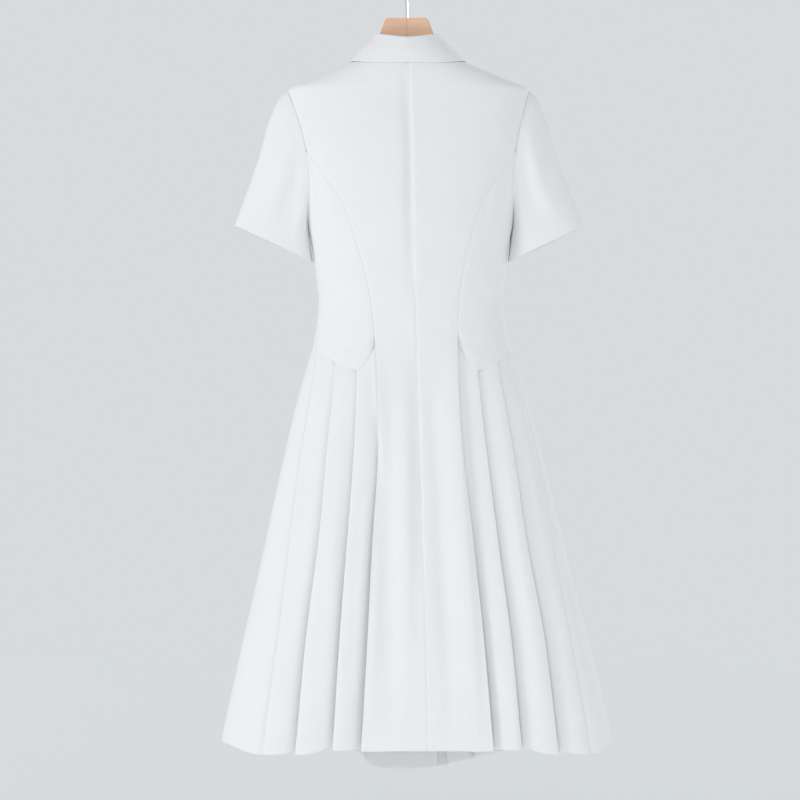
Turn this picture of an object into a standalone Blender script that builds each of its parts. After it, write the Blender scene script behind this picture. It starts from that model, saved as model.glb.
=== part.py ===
# White double-breasted dress with short sleeves and a pleated skirt, hung on a wooden hanger.
# World frame: metres, +Z up. The front of the dress faces -Y and the wearer's left is +X.
# The origin is the inside top of the hanger's hook, which is where the whole thing is held.
# Sizes are in millimetres. "below" is how far a point lies under the origin.
import math

import bmesh
import bpy
import numpy as np
from mathutils import Vector
from mathutils.bvhtree import BVHTree

MM = 0.001
LEFT, RIGHT = 1, -1
BACK, FRONT = "back", "front"

# Cloth
WALL = 1.6
SEAM_GAP = 0.3
ON_TOP = WALL + SEAM_GAP
LAYER_AT_WAIST = 2.7
LAYER_AT_HEM = 8.0
UNDERLAP_AT_WAIST = 20.0
UNDERLAP_AT_HEM = 34.0
OVERLAP = 50.0
LEAN = -0.0125

# Levels
NECK_POINT = 139.0
NECK_BACK = 142.0
SHOULDER_TIP = 189.0
ARMHOLE_MEETS_PRINCESS = 284.0
UNDERARM = 397.0
BREAK_POINT = 392.0
HEM_LEVEL = 1207.0
NECK_HALF_WIDTH = 70.0
ROLL_SLOPE = -(NECK_HALF_WIDTH + OVERLAP) / (BREAK_POINT - NECK_POINT)

# Horizontal sections of the dress, filled out as it hangs.
SECTION_COLUMNS = ("below", "half_width", "back_depth", "front_depth", "squareness", "twist")
SECTIONS = (
    (139, 70.0, 48, 44, 2.2, -0.6),
    (148, 94.0, 52, 46, 2.2, -0.8),
    (172, 152.0, 56, 49, 2.2, -1.2),
    (189, 188.0, 58, 52, 2.2, -1.5),
    (240, 190.0, 64, 62, 2.2, -2.6),
    (285, 183.0, 68, 77, 2.2, -3.4),
    (338, 171.0, 72, 88, 2.2, -3.8),
    (397, 160.5, 73, 92, 2.2, -4.2),
    (430, 153.5, 71, 88, 2.2, -4.8),
    (458, 149.3, 69, 83, 2.2, -5.4),
    (485, 146.0, 67, 77, 2.2, -6.0),
    (516, 143.5, 65, 73, 2.2, -6.5),
    (562, 148.0, 64, 72, 2.2, -7.2),
    (609, 160.7, 66, 75, 2.25, -8.3),
    (672, 179.4, 71, 80, 2.3, -10.0),
    (796, 210.0, 79, 88, 2.35, -12.4),
    (921, 238.7, 86, 94, 2.4, -14.0),
    (1046, 269.5, 92, 100, 2.4, -16.0),
    (1171, 298.7, 97, 105, 2.4, -16.4),
    (1202, 305.0, 98, 106, 2.4, -16.4),
    (1270, 320.0, 100, 108, 2.4, -16.4),
)

# Seams and pleat edges: distance from the centre seam, measured straight across.
ARMHOLE_COLUMNS = ("below", "across", "across_front")
ARMHOLE = (
    (189, 188.0, 188.0),
    (215, 179.5, 176.5),
    (239, 172.5, 168.0),
    (262, 166.5, 161.5),
    (284, 162.5, 157.0),
    (320, 158.0, 152.0),
    (350, 157.5, 152.0),
    (380, 159.5, 156.5),
    (397, 160.5, 160.5),
)
PRINCESS_COLUMNS = ("below", "across", "across_front")
PRINCESS = (
    (284, 162.5, 157.0),
    (312, 144.0, 141.0),
    (337, 126.0, 127.0),
    (364, 108.5, 114.0),
    (398, 96.5, 102.0),
    (433, 87.0, 92.0),
    (459, 79.5, 85.0),
    (502, 71.0, 74.0),
    (540, 66.5, 68.0),
    (585, 64.0, 64.0),
)
PLEAT_COLUMNS = ("below", "inner_edge", "middle_edge", "outer_edge", "side_seam_ratio")
PLEATS = (
    (560, 64.5, 88.0, 120.0, 1.000),
    (585, 64.0, 90.0, 123.0, 0.985),
    (625, 62.5, 93.0, 127.0, 0.950),
    (672, 62.0, 96.0, 133.0, 0.927),
    (736, 64.0, 101.0, 142.0, 0.915),
    (886, 77.0, 116.0, 160.0, 0.883),
    (1039, 89.0, 132.0, 184.0, 0.843),
    (1206, 101.0, 145.0, 202.0, 0.822),
    (1270, 106.0, 150.0, 209.0, 0.815),
)
WAIST_SEAM_COLUMNS = ("across", "below")
WAIST_SEAM = ((64, 587), (78, 611), (93, 626), (108, 622), (127, 613), (142, 604), (156, 594))
HEM_COLUMNS = ("across", "back", "front_left", "front_right")
HEM = (
    (0, 1207, 1261, 1261),
    (30, 1207, 1260, 1260),
    (50, 1207, 1256, 1258),
    (72, 1208, 1236, 1253),
    (100, 1208, 1224, 1246),
    (146, 1207, 1217, 1234),
    (186, 1214, 1213, 1222),
    (256, 1216, 1207, 1208),
    (306, 1202, 1202, 1202),
)

# Sleeves
SLEEVE_POINTS = 20
CUFF_OUTER = (274.5, 398.5)
CUFF_INNER = (157.5, 456.0)
CUFF_HALF_DEPTH = 29.0
CAP_COLUMNS = ("along", "swell")
CAP = ((0.0, 0.0), (0.035, 7.0), (0.10, 9.5), (0.22, 9.5), (0.47, 4.0), (0.66, 1.8), (1.0, 0.0))
SLEEVE_ROWS = (0.0, 0.035, 0.10, 0.22, 0.38, 0.58, 0.79, 1.0)

# Collar, from the centre back round to where it meets the lapel.
COLLAR_COLUMNS = ("base_across", "base_below", "roll_across", "roll_out", "roll_below",
                  "edge_across", "edge_below")
COLLAR_BACK = (
    (0.0, 140.6, 0.0, 45.0, 111.0, 0.0, 151.0),
    (26.0, 140.3, 19.0, 42.0, 109.0, 34.0, 151.0),
    (48.0, 139.2, 35.0, 33.0, 106.0, 62.0, 149.5),
    (62.0, 137.7, 45.0, 19.0, 103.5, 80.0, 147.0),
)
COLLAR_SIDE = (69.8, 136.9, 49.0, 2.0, 103.0, 89.0, 146.5)
COLLAR_FRONT = (
    (67.5, 140.0, 53.0, 19.0, 112.0, 97.0, 156.0),
    (61.0, 151.0, 58.0, 41.0, 134.0, 103.0, 172.0),
    (53.5, 166.0, 56.0, 50.5, 156.0, 102.0, 189.0),
)
# Each row: roll_below, edge_across, edge_below.
LAPEL = (
    (172.0, 113.0, 209.0),
    (196.0, 112.0, 226.0),
    (226.0, 106.0, 250.0),
    (260.0, 95.0, 280.0),
    (296.0, 74.0, 312.0),
    (332.0, 42.0, 343.0),
    (362.0, 3.0, 369.0),
    (383.0, -36.0, 386.0),
)

# Buttons
BUTTON_RADIUS = 10.0
BUTTON_THICK = 3.4
BUTTON_ACROSS = 35.0
BUTTON_TOP = 408.0
BUTTON_STEP = 64.0
BUTTON_ROWS = 4
BUTTON_SEAT = 0.45
BUTTON_SIDES = 16
# The button's profile as shares of its radius and thickness, from its underside to its face.
BUTTON_PROFILE = ((0.88, 0.0), (1.0, 0.35), (0.95, 0.9), (0.8, 1.0), (0.62, 0.72))
BUTTON_FACE = 0.7

# Hanger
WOOD_THICK = 13.0
WIRE_RADIUS = 2.0
HOOK_RADIUS = 20.0
WOOD_TOP = 76.0
# The hanger's outline as places (across, below), its neck first and its underside last.
WOOD_NECK = ((0.2, 76.0), (29.0, 76.0), (33.0, 78.0), (42.0, 101.0), (46.0, 120.0), (62.0, 142.0))
WOOD_SHOULDER = (80.0, 94.0, 112.0, 132.0, 152.0, 164.0, 171.0)
WOOD_LOWER = ((177.0, 187.5), (180.0, 192.5), (179.0, 200.0), (172.0, 204.0), (130.0, 192.0),
              (88.0, 175.0), (50.0, 165.0), (20.0, 160.0), (0.2, 159.0))
WOOD_TO_CLOTH = WALL / 2 + SEAM_GAP + 0.85
WOOD_EDGE_ROUNDING = 2.0
STEM_LEVELS = (62.0, 53.0)
HOOK_START_DEGREES, HOOK_STEP_DEGREES, HOOK_STEPS = -48.0, 17.7, 14
HOOK_PULL_UP, HOOK_PULL_BACK = 8.0, 7.0


def column(rows, names, name):
    return [row[names.index(name)] for row in rows]


def smooth_at(places, values, where):
    """Value at a place on a smooth curve through the rows of a table."""
    places = np.asarray(places, dtype=float)
    values = np.asarray(values, dtype=float)
    where = min(max(where, places[0]), places[-1])
    steps = np.diff(places)
    slopes = np.diff(values) / steps
    index = min(max(int(np.searchsorted(places, where, side="right")) - 1, 0), len(steps) - 1)

    def tangent(i):
        if i == 0 or i == len(steps):
            return slopes[0] if i == 0 else slopes[-1]
        before, after = slopes[i - 1], slopes[i]
        if before * after <= 0:
            return 0.0
        return 2.0 * before * after / (before + after)

    step = steps[index]
    t = (where - places[index]) / step
    start, end = values[index], values[index + 1]
    return ((2 * t**3 - 3 * t**2 + 1) * start + (t**3 - 2 * t**2 + t) * step * tangent(index)
            + (3 * t**2 - 2 * t**3) * end + (t**3 - t**2) * step * tangent(index + 1))


def lookup(rows, names, key, wanted, where):
    return smooth_at(column(rows, names, key), column(rows, names, wanted), where)


def section_value(wanted, below):
    return lookup(SECTIONS, SECTION_COLUMNS, "below", wanted, below)


RINGS = {}
RING_STEPS = 160


def half_ring(below):
    """Half of one section, centre back to centre front: length along it, across and depth."""
    key = round(below, 3)
    if key in RINGS:
        return RINGS[key]
    half_width = section_value("half_width", below)
    power = 2.0 / section_value("squareness", below)
    back = section_value("back_depth", below)
    front = section_value("front_depth", below)
    angle = np.linspace(0.0, math.pi, 2 * RING_STEPS + 1)
    across = half_width * np.abs(np.sin(angle)) ** power
    depth = np.abs(np.cos(angle)) ** power
    depth = np.where(angle <= math.pi / 2, back * depth, -front * depth)
    along = np.concatenate(([0.0], np.cumsum(np.hypot(np.diff(across), np.diff(depth)))))
    RINGS[key] = (along, across, depth)
    return RINGS[key]


def ring_length(below):
    return half_ring(below)[0][-1]


def quarter_length(face, below):
    along = half_ring(below)[0]
    return along[RING_STEPS] if face == BACK else along[-1] - along[RING_STEPS]


def distance_for(face, below, across):
    """Length along the section from its own centre line to a place straight across."""
    along, ring_across, _ = half_ring(below)
    size = abs(across)
    if face == BACK:
        length = np.interp(size, ring_across[:RING_STEPS + 1], along[:RING_STEPS + 1])
    else:
        backwards = ring_across[RING_STEPS:][::-1]
        length = np.interp(size, backwards, (along[-1] - along[RING_STEPS:])[::-1])
    return math.copysign(length, across)


def cloth_point(side, face, distance, inward, below):
    """A point on the dress: distance from that face's centre line towards one side seam."""
    along, ring_across, ring_depth = half_ring(below)
    total = along[-1]
    place = distance if face == BACK else total - distance
    place += side * section_value("twist", below)
    mirror = 1.0
    if place < 0:
        place, mirror = -place, -1.0
    elif place > total:
        place, mirror = 2 * total - place, -1.0
    reach = 2.0
    low, high = max(place - reach, 0.0), min(place + reach, total)
    tangent_x = np.interp(high, along, ring_across) - np.interp(low, along, ring_across)
    tangent_y = np.interp(high, along, ring_depth) - np.interp(low, along, ring_depth)
    size = math.hypot(tangent_x, tangent_y)
    across = np.interp(place, along, ring_across) + inward * tangent_y / size
    depth = np.interp(place, along, ring_depth) - inward * tangent_x / size
    return Vector((LEAN * below + side * mirror * across, depth, -below))


def face_across(rows, names, face, below):
    return lookup(rows, names, "below", "across" if face == BACK else "across_front", below)


def outer_edge(face, below):
    """Edge of a centre panel on the side-seam side: armhole, princess seam, then first pleat."""
    if below <= ARMHOLE_MEETS_PRINCESS:
        across = face_across(ARMHOLE, ARMHOLE_COLUMNS, face, below)
    elif below <= PRINCESS[-1][0]:
        across = face_across(PRINCESS, PRINCESS_COLUMNS, face, below)
    else:
        across = lookup(PLEATS, PLEAT_COLUMNS, "below", "inner_edge", below)
    across = min(across, section_value("half_width", below))
    return distance_for(face, below, across)


def side_seam(face, below):
    """Distance of the side seam from the centre line of a face."""
    ratio = lookup(PLEATS, PLEAT_COLUMNS, "below", "side_seam_ratio", below)
    from_back = distance_for(BACK, below, ratio * section_value("half_width", below))
    return from_back if face == BACK else ring_length(below) - from_back


def roll_across(below):
    return NECK_HALF_WIDTH + ROLL_SLOPE * (below - NECK_POINT)


def hem_below(side, face, across):
    wanted = "back" if face == BACK else "front_left" if side == LEFT else "front_right"
    return lookup(HEM, HEM_COLUMNS, "across", wanted, min(abs(across), HEM[-1][0]))


def make_material(name, colour, roughness, metallic=0.0):
    material = bpy.data.materials.new(name)
    material.use_nodes = True
    shader = material.node_tree.nodes["Principled BSDF"]
    shader.inputs["Base Color"].default_value = (*colour, 1.0)
    shader.inputs["Roughness"].default_value = roughness
    shader.inputs["Metallic"].default_value = metallic
    material.diffuse_color = (*colour, 1.0)
    return material


def add_object(name, bm, material, smooth_angle=40.0):
    """Turn a closed mesh in millimetres into a named object with its faces pointing out."""
    bmesh.ops.triangulate(bm, faces=bm.faces[:])
    bmesh.ops.scale(bm, vec=(MM, MM, MM), verts=bm.verts[:])
    if bm.calc_volume(signed=True) < 0:
        bmesh.ops.reverse_faces(bm, faces=bm.faces[:])
    mesh = bpy.data.meshes.new(name)
    bm.to_mesh(mesh)
    bm.free()
    mesh.shade_smooth()
    mesh.set_sharp_from_angle(angle=math.radians(smooth_angle))
    mesh.materials.append(material)
    made = bpy.data.objects.new(name, mesh)
    bpy.context.collection.objects.link(made)
    return made


def run_direction(grid):
    """Direction of the rows' run at each point, following the curve to its very ends."""
    steps = np.diff(grid, axis=0)
    lengths = np.linalg.norm(steps, axis=2, keepdims=True)
    steps = steps / lengths
    before, after = steps[:-1], steps[1:]
    weight = lengths[:-1] / (lengths[:-1] + lengths[1:])
    middle = before * (1 - weight) + after * weight
    first = 2 * steps[:1] - middle[:1] if len(steps) > 1 else steps[:1]
    last = 2 * steps[-1:] - middle[-1:] if len(steps) > 1 else steps[-1:]
    return np.concatenate((first, middle, last))


def wall_normals(grid, closed):
    along = run_direction(grid)
    if closed:
        around = np.roll(grid, -1, axis=1) - np.roll(grid, 1, axis=1)
    else:
        around = run_direction(grid.transpose(1, 0, 2)).transpose(1, 0, 2)
    normal = np.cross(along, around)
    return normal / np.linalg.norm(normal, axis=2, keepdims=True)


def cloth_wall(name, rows, material, closed=False, wall=WALL):
    """A wall of cloth round a grid of points that run through the middle of its thickness."""
    grid = np.array([[tuple(point) for point in row] for row in rows])
    normal = wall_normals(grid, closed)
    count, width = grid.shape[:2]
    bm = bmesh.new()
    sheets = []
    for shift in (wall / 2, -wall / 2):
        sheets.append([[bm.verts.new(point) for point in row] for row in grid + shift * normal])
    columns = range(width) if closed else range(width - 1)
    for sheet, flip in zip(sheets, (False, True)):
        for i in range(count - 1):
            for j in columns:
                k = (j + 1) % width
                corners = [sheet[i][j], sheet[i][k], sheet[i + 1][k], sheet[i + 1][j]]
                bm.faces.new(corners[::-1] if flip else corners)
    top, under = sheets
    for i, flip in ((0, True), (count - 1, False)):
        for j in columns:
            k = (j + 1) % width
            corners = [top[i][j], top[i][k], under[i][k], under[i][j]]
            bm.faces.new(corners[::-1] if flip else corners)
    if not closed:
        for j, flip in ((0, False), (width - 1, True)):
            for i in range(count - 1):
                corners = [top[i][j], top[i + 1][j], under[i + 1][j], under[i][j]]
                bm.faces.new(corners[::-1] if flip else corners)
    return add_object(name, bm, material)


def blend(start, end, share):
    return start + (end - start) * share


SHOULDER_SET_BACK = 1.5


def shoulder_place(face, share):
    """Along the shoulder seam from the neck point (0) to the shoulder tip (1)."""
    below = blend(NECK_POINT, SHOULDER_TIP, share)
    return quarter_length(face, below), below


YOKE_ROWS = (0.0, 0.03, 0.09, 0.2, 0.38, 0.6, 0.8, 1.0)
BODICE_LEVELS = (312, 338, 364, 398, 433, 459, 502, 540, 585)
SKIRT_LEVELS = (625, 672, 760, 870, 980, 1090, 1206)
CENTRE_SHARES = (0.0, 0.12, 0.25, 0.37, 0.5, 0.65, 0.8, 0.92, 1.0)
NECK_SHARE = 0.37
SEAM_HALF = 0.25


def back_top(share):
    """Top edge of a back panel: round the neck, then along the shoulder seam."""
    if share <= NECK_SHARE:
        part = share / NECK_SHARE
        below = blend(NECK_BACK, NECK_POINT, part**2)
        return distance_for(BACK, below, NECK_HALF_WIDTH * math.sin(part * math.pi / 2)), below
    return shoulder_place(BACK, (share - NECK_SHARE) / (1 - NECK_SHARE))


def front_top(share):
    return shoulder_place(FRONT, share)


UNDER_LAPEL, UNDER_FRONT = 6.4, 3.0
SINK_STARTS_BEYOND, SINKS_WITHIN_BELOW = 5.0, 50.0
SLOPE_UNDER_LAPEL, SLOPE_UNDER_FRONT = 70.0, 8.0


def front_depth(side, distance, below):
    """How far the left front and its lapel sink where the right front covers them."""
    if side == RIGHT:
        return 0.0
    cover = min(-roll_across(below), OVERLAP)
    rise = min(max((below - BREAK_POINT) / SINKS_WITHIN_BELOW, 0.0), 1.0)
    slope = blend(SLOPE_UNDER_LAPEL, SLOPE_UNDER_FRONT, rise)
    near = min(max((cover + SINK_STARTS_BEYOND + slope - distance) / slope, 0.0), 1.0)
    near = near * near * (3 - 2 * near)
    return near * blend(UNDER_LAPEL, UNDER_FRONT, rise)


def centre_panel(side, face):
    """Rows of points of a full-length panel between the centre line and the princess seam."""
    def inner(below):
        if face == BACK:
            return SEAM_HALF
        across = roll_across(below) if below < BREAK_POINT else -OVERLAP
        across = min(across, section_value("half_width", below))
        return distance_for(FRONT, below, across)

    def outer(below):
        return outer_edge(face, below) - SEAM_HALF

    top = back_top if face == BACK else front_top
    start_below = NECK_BACK if face == BACK else NECK_POINT
    left_end, right_end = top(0.0)[0], top(1.0)[0]
    rows = []
    for part in YOKE_ROWS:
        row = []
        for share in CENTRE_SHARES:
            top_place, top_below = top(share)
            top_share = (top_place - left_end) / (right_end - left_end)
            across_share = blend(top_share, share, part)
            below = blend(top_below, ARMHOLE_MEETS_PRINCESS, part)
            inner_below = blend(start_below, ARMHOLE_MEETS_PRINCESS, part)
            outer_below = blend(SHOULDER_TIP, ARMHOLE_MEETS_PRINCESS, part)
            distance = blend(inner(inner_below), outer(outer_below), across_share)
            at_shoulder = min(share / NECK_SHARE, 1.0) if face == BACK else 1.0
            distance -= SHOULDER_SET_BACK * at_shoulder * (1 - part) ** 4
            inward = front_depth(side, distance, below) if face == FRONT else 0.0
            row.append(cloth_point(side, face, distance, inward, below))
        rows.append(row)
    for level in BODICE_LEVELS + SKIRT_LEVELS:
        row = []
        for share in CENTRE_SHARES:
            distance = blend(inner(level), outer(level), share)
            hem = hem_below(side, face, distance)
            below = level
            if level > SKIRT_LEVELS[0]:
                down = (level - SKIRT_LEVELS[0]) / (SKIRT_LEVELS[-1] - SKIRT_LEVELS[0])
                below = blend(SKIRT_LEVELS[0], hem, down)
            distance = blend(inner(below), outer(below), share)
            inward = front_depth(side, distance, below) if face == FRONT else 0.0
            row.append(cloth_point(side, face, distance, inward, below))
        rows.append(row)
    return rows


SIDE_SHARES = (0.0, 0.17, 0.34, 0.5, 0.67, 0.84, 1.0)
SIDE_LEVELS = (290, 300, 312, 338, 364, 397, 433, 459, 502, 540)
WAIST_AT_SIDE = WAIST_SEAM[2][1]
WAIST_SHARES = (0.4, 0.75, 1.0)


def waist_seam_below(across):
    return lookup(WAIST_SEAM, WAIST_SEAM_COLUMNS, "across", "below", across)


def side_panel(side, face):
    """Rows of points of a bodice side panel, from the armhole down to the waist seam."""
    def edges(below):
        inner = outer_edge(face, below) + SEAM_HALF
        if below < UNDERARM:
            across = face_across(ARMHOLE, ARMHOLE_COLUMNS, face, below)
            return inner, distance_for(face, below, across)
        return inner, side_seam(face, below) - SEAM_HALF

    rows = []
    for level in SIDE_LEVELS:
        inner, outer = edges(level)
        outer = max(outer, inner + 1.0)
        rows.append([cloth_point(side, face, blend(inner, outer, share), 0.0, level)
                     for share in SIDE_SHARES])
    for down in WAIST_SHARES:
        row = []
        for share in SIDE_SHARES:
            inner, outer = edges(WAIST_AT_SIDE)
            across = across_at(face, WAIST_AT_SIDE, blend(inner, outer, share))
            below = blend(SIDE_LEVELS[-1], waist_seam_below(across), down)
            inner, outer = edges(below)
            row.append(cloth_point(side, face, blend(inner, outer, share), 0.0, below))
        rows.append(row)
    return rows


PANEL_SHARES = (0.22, 0.45, 0.7)
PANEL_CURVE = 1.3
UNDERLAP_CLEAR = 2.5


def pleat_path(face, below):
    """Places and depths across the pleated side of the skirt.

    Each visible panel slopes from under one pleat edge up to the next, and the two layers
    folded under an edge lie parallel to the panel above them.
    """
    down = (below - PLEATS[0][0]) / (HEM_LEVEL - PLEATS[0][0])
    down = min(max(down, 0.0), 1.0)
    layer = blend(LAYER_AT_WAIST, LAYER_AT_HEM, down)
    edges = [distance_for(face, below, lookup(PLEATS, PLEAT_COLUMNS, "below", name, below))
             for name in PLEAT_COLUMNS[1:4]]
    seam = side_seam(face, below) - SEAM_HALF
    bend = layer * 0.5
    path = []
    for number, edge in enumerate(edges):
        underlap = blend(UNDERLAP_AT_WAIST, UNDERLAP_AT_HEM, down)
        start = edges[number - 1] if number else 0.0
        if number == 0 and face == FRONT:
            underlap = min(underlap, edge - OVERLAP - bend - UNDERLAP_CLEAR)

        def panel(place):
            if number == 0:
                return 0.0
            return 2 * layer * max(1 - (place - start) / (edge - start), 0.0) ** PANEL_CURVE

        if number == 0:
            path.append((edge - 1.0, ON_TOP + 0.1))
            path.append((edge - 2.2, blend(ON_TOP + 0.1, layer, 0.7)))
            path.append((edge - 3.6, layer))
        else:
            path.append((edge - bend, panel(edge - bend)))
            path.append((edge, bend))
            path.append((edge - bend, panel(edge - bend) + layer))
        far = edge - underlap
        path.append((far, panel(far) + layer))
        path.append((far - bend, panel(far - bend) + layer * 1.5))
        path.append((far, panel(far) + layer * 2))
        path.append((edge, layer * 2))
        following = edges[number + 1] if number < 2 else seam
        for share in PANEL_SHARES:
            path.append((blend(edge, following, share), layer * 2 * (1 - share) ** PANEL_CURVE))
    path.append((seam, 0.0))
    return path


TUCK_UP = 5.0
TUCK_DEPTH = ON_TOP + 0.4
HEM_RISE_INSIDE = 0.25
TUCK_ROWS = ((-TUCK_UP, 1.0), (1.0, 1.0), (14.0, 0.15))
SKIRT_SHARES = (0.12, 0.28, 0.46, 0.64, 0.82, 1.0)


def across_at(face, below, distance):
    along, ring_across, _ = half_ring(below)
    return float(np.interp(distance if face == BACK else along[-1] - distance, along, ring_across))


def pleated_panel(side, face):
    """Rows of points of a pleated skirt side, from the waist seam to the hem."""
    top_path = pleat_path(face, WAIST_AT_SIDE)
    hem_path = pleat_path(face, HEM_LEVEL)
    tops = []
    for place, _ in top_path:
        across = across_at(face, WAIST_AT_SIDE, place)
        tops.append(waist_seam_below(min(max(across, WAIST_SEAM[0][0]), WAIST_SEAM[-1][0])))
    along, ring_across, _ = half_ring(HEM_LEVEL)
    hems = []
    for place, inward in hem_path:
        spot = place if face == BACK else along[-1] - place
        across = np.interp(spot, along, ring_across)
        on_face = BACK if spot <= along[RING_STEPS] else FRONT
        hems.append(hem_below(side, on_face, across) - HEM_RISE_INSIDE * inward)
    levels = [([top + step for top in tops], tuck) for step, tuck in TUCK_ROWS]
    levels += [([blend(top, hem, share) for top, hem in zip(tops, hems)], 0.0)
               for share in SKIRT_SHARES]
    rows = []
    for belows, tuck in levels:
        row = []
        for number, below in enumerate(belows):
            place, inward = pleat_path(face, below)[number]
            inward += tuck * TUCK_DEPTH
            if face == FRONT:
                inward += front_depth(side, place, below)
            row.append(cloth_point(side, face, place, inward, below))
        rows.append(row)
    return rows


SLEEVE_CLEAR = ON_TOP + 1.1
ARMHOLE_CURVE, CUFF_CURVE, CAP_CURVE = 1.3, 0.75, 1.5


def armhole_point(side, turn):
    """A point on the armhole seam; turn runs 0 at the shoulder, 0.5 underarm, 1 back again."""
    face = BACK if turn <= 0.5 else FRONT
    down = 1 - abs(1 - 2 * turn)
    below = blend(SHOULDER_TIP, UNDERARM - 1.5,
                  math.sin(down * math.pi / 2) ** ARMHOLE_CURVE)
    across = min(face_across(ARMHOLE, ARMHOLE_COLUMNS, face, below),
                 section_value("half_width", below))
    return cloth_point(side, face, distance_for(face, below, across), -SLEEVE_CLEAR, below)


def sleeve_rows(side):
    """Rows of points of a sleeve, from the armhole to the cuff."""
    middle = [(a + b) / 2 for a, b in zip(CUFF_OUTER, CUFF_INNER)]
    reach = [(a - b) / 2 for a, b in zip(CUFF_OUTER, CUFF_INNER)]
    rows = []
    for along in SLEEVE_ROWS:
        swell = lookup(CAP, CAP_COLUMNS, "along", "swell", along)
        row = []
        for number in range(SLEEVE_POINTS):
            turn = number / SLEEVE_POINTS
            start = armhole_point(side, turn)
            angle = turn * 2 * math.pi
            flat = math.copysign(abs(math.sin(angle)) ** CUFF_CURVE, math.sin(angle))
            across, below = (m + r * math.cos(angle) for m, r in zip(middle, reach))
            end = Vector((side * across + LEAN * below, CUFF_HALF_DEPTH * flat, -below))
            point = start.lerp(end, along)
            point.x += side * swell * (0.5 + 0.5 * math.cos(angle)) ** CAP_CURVE
            row.append(point)
        rows.append(row)
    return rows


def surface_at(side, face, across, below, out):
    """A point at a distance out from the dress, square to its surface."""
    widths = column(SECTIONS, SECTION_COLUMNS, "half_width")[:4]
    belows = column(SECTIONS, SECTION_COLUMNS, "below")[:4]
    below = max(below, float(np.interp(abs(across) + 1.0, widths, belows)))
    distance = distance_for(face, below, across)
    point = cloth_point(side, face, distance, 0.0, below)
    beside = cloth_point(side, face, distance + 1.0, 0.0, below)
    lower = cloth_point(side, face, distance, 0.0, below + 1.0)
    normal = (beside - point).cross(lower - point).normalized()
    away = point - Vector((LEAN * below, 0.0, point.z - 40.0))
    if normal.dot(away) < 0:
        normal = -normal
    return point + normal * out


COLLAR_WALL = 1.8
COLLAR_CLEAR = COLLAR_WALL / 2 + WALL / 2 + 1.3
COLLAR_STEPS = 2
COLLAR_TURN_OUT, COLLAR_TURN_DOWN = 2.4, 0.8
COLLAR_OVER_OUT, COLLAR_OVER_DOWN = 4.2, 4.2
COLLAR_FALL_SWELL = 1.6


def collar_section(side, row, face):
    """One cross-section of the collar: up the stand, over the roll and down the fall."""
    base_across, base_below, roll_wide, roll_out, roll_below, edge_across, edge_below = row
    base = cloth_point(side, face, distance_for(face, NECK_POINT, base_across), 0.0, NECK_POINT)
    if face == FRONT:
        base = surface_at(side, face, base_across, base_below, 0.0)
    base.z = -base_below
    facing = 1.0 if face == BACK else -1.0
    roll = Vector((side * roll_wide + LEAN * roll_below, facing * roll_out, -roll_below))
    edge = surface_at(side, face, edge_across, edge_below, COLLAR_CLEAR)
    outward = edge - base
    outward.z = 0.0
    outward.normalize()
    turn = roll + outward * COLLAR_TURN_OUT - Vector((0, 0, COLLAR_TURN_DOWN))
    over = roll + outward * COLLAR_OVER_OUT - Vector((0, 0, COLLAR_OVER_DOWN))
    low = over.lerp(edge, 0.5) + outward * COLLAR_FALL_SWELL
    return [base, base.lerp(roll, 0.5), roll + Vector((0, 0, -2.5)) - outward * 1.2, roll, turn,
            over, over.lerp(edge, 0.25) + outward, low, over.lerp(edge, 0.78) + outward, edge]


def collar_rows():
    """Cross-sections from the right end round the back to the left end."""
    measured = COLLAR_BACK + (COLLAR_SIDE,) + COLLAR_FRONT
    side_place = len(COLLAR_BACK)
    facing = [1] * side_place + [0] + [-1] * len(COLLAR_FRONT)
    outs = [value * (1 if face >= 0 else -1) for value, face in
            zip(column(measured, COLLAR_COLUMNS, "roll_out"), facing)]
    places = list(range(len(measured)))
    sections = {LEFT: [], RIGHT: []}
    for step in range(COLLAR_STEPS * (len(measured) - 1) + 1):
        place = step / COLLAR_STEPS
        row = [smooth_at(places, column(measured, COLLAR_COLUMNS, name), place)
               for name in COLLAR_COLUMNS]
        face = BACK if place <= side_place else FRONT
        row[COLLAR_COLUMNS.index("roll_out")] = smooth_at(places, outs, place) * (
            1 if face == BACK else -1)
        for side in (LEFT, RIGHT):
            sections[side].append(collar_section(side, row, face))
    left, right = sections[LEFT], sections[RIGHT]
    centre = [(a + b) / 2 for a, b in zip(left[0], right[0])]
    return right[:0:-1] + [centre] + left[1:]


LAPEL_SHARES = (0.0, 0.06, 0.17, 0.3, 0.43, 0.57, 0.71, 0.85, 1.0)
LAPEL_LIFT = ON_TOP + 1.0
ROLL_HEIGHT, ROLL_PLACE, ROLL_REACH, ROLL_SET_IN = 2.2, 0.08, 0.12, 1.2


def lapel_rows(side):
    """Rows of points of a lapel folded back along the roll line."""
    rows = []
    for roll_below, edge_across, edge_below in LAPEL:
        row = []
        for share in LAPEL_SHARES:
            below = blend(roll_below, edge_below, share)
            across = blend(roll_across(roll_below) - ROLL_SET_IN, edge_across, share)
            roll = math.exp(-((share - ROLL_PLACE) / ROLL_REACH) ** 2)
            sunk = front_depth(side, distance_for(FRONT, below, across), below)
            roll *= max(1 - sunk / 2, 0.0)
            lift = LAPEL_LIFT + ROLL_HEIGHT * roll - sunk
            row.append(surface_at(side, FRONT, across, below, lift))
        rows.append(row)
    return rows


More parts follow.
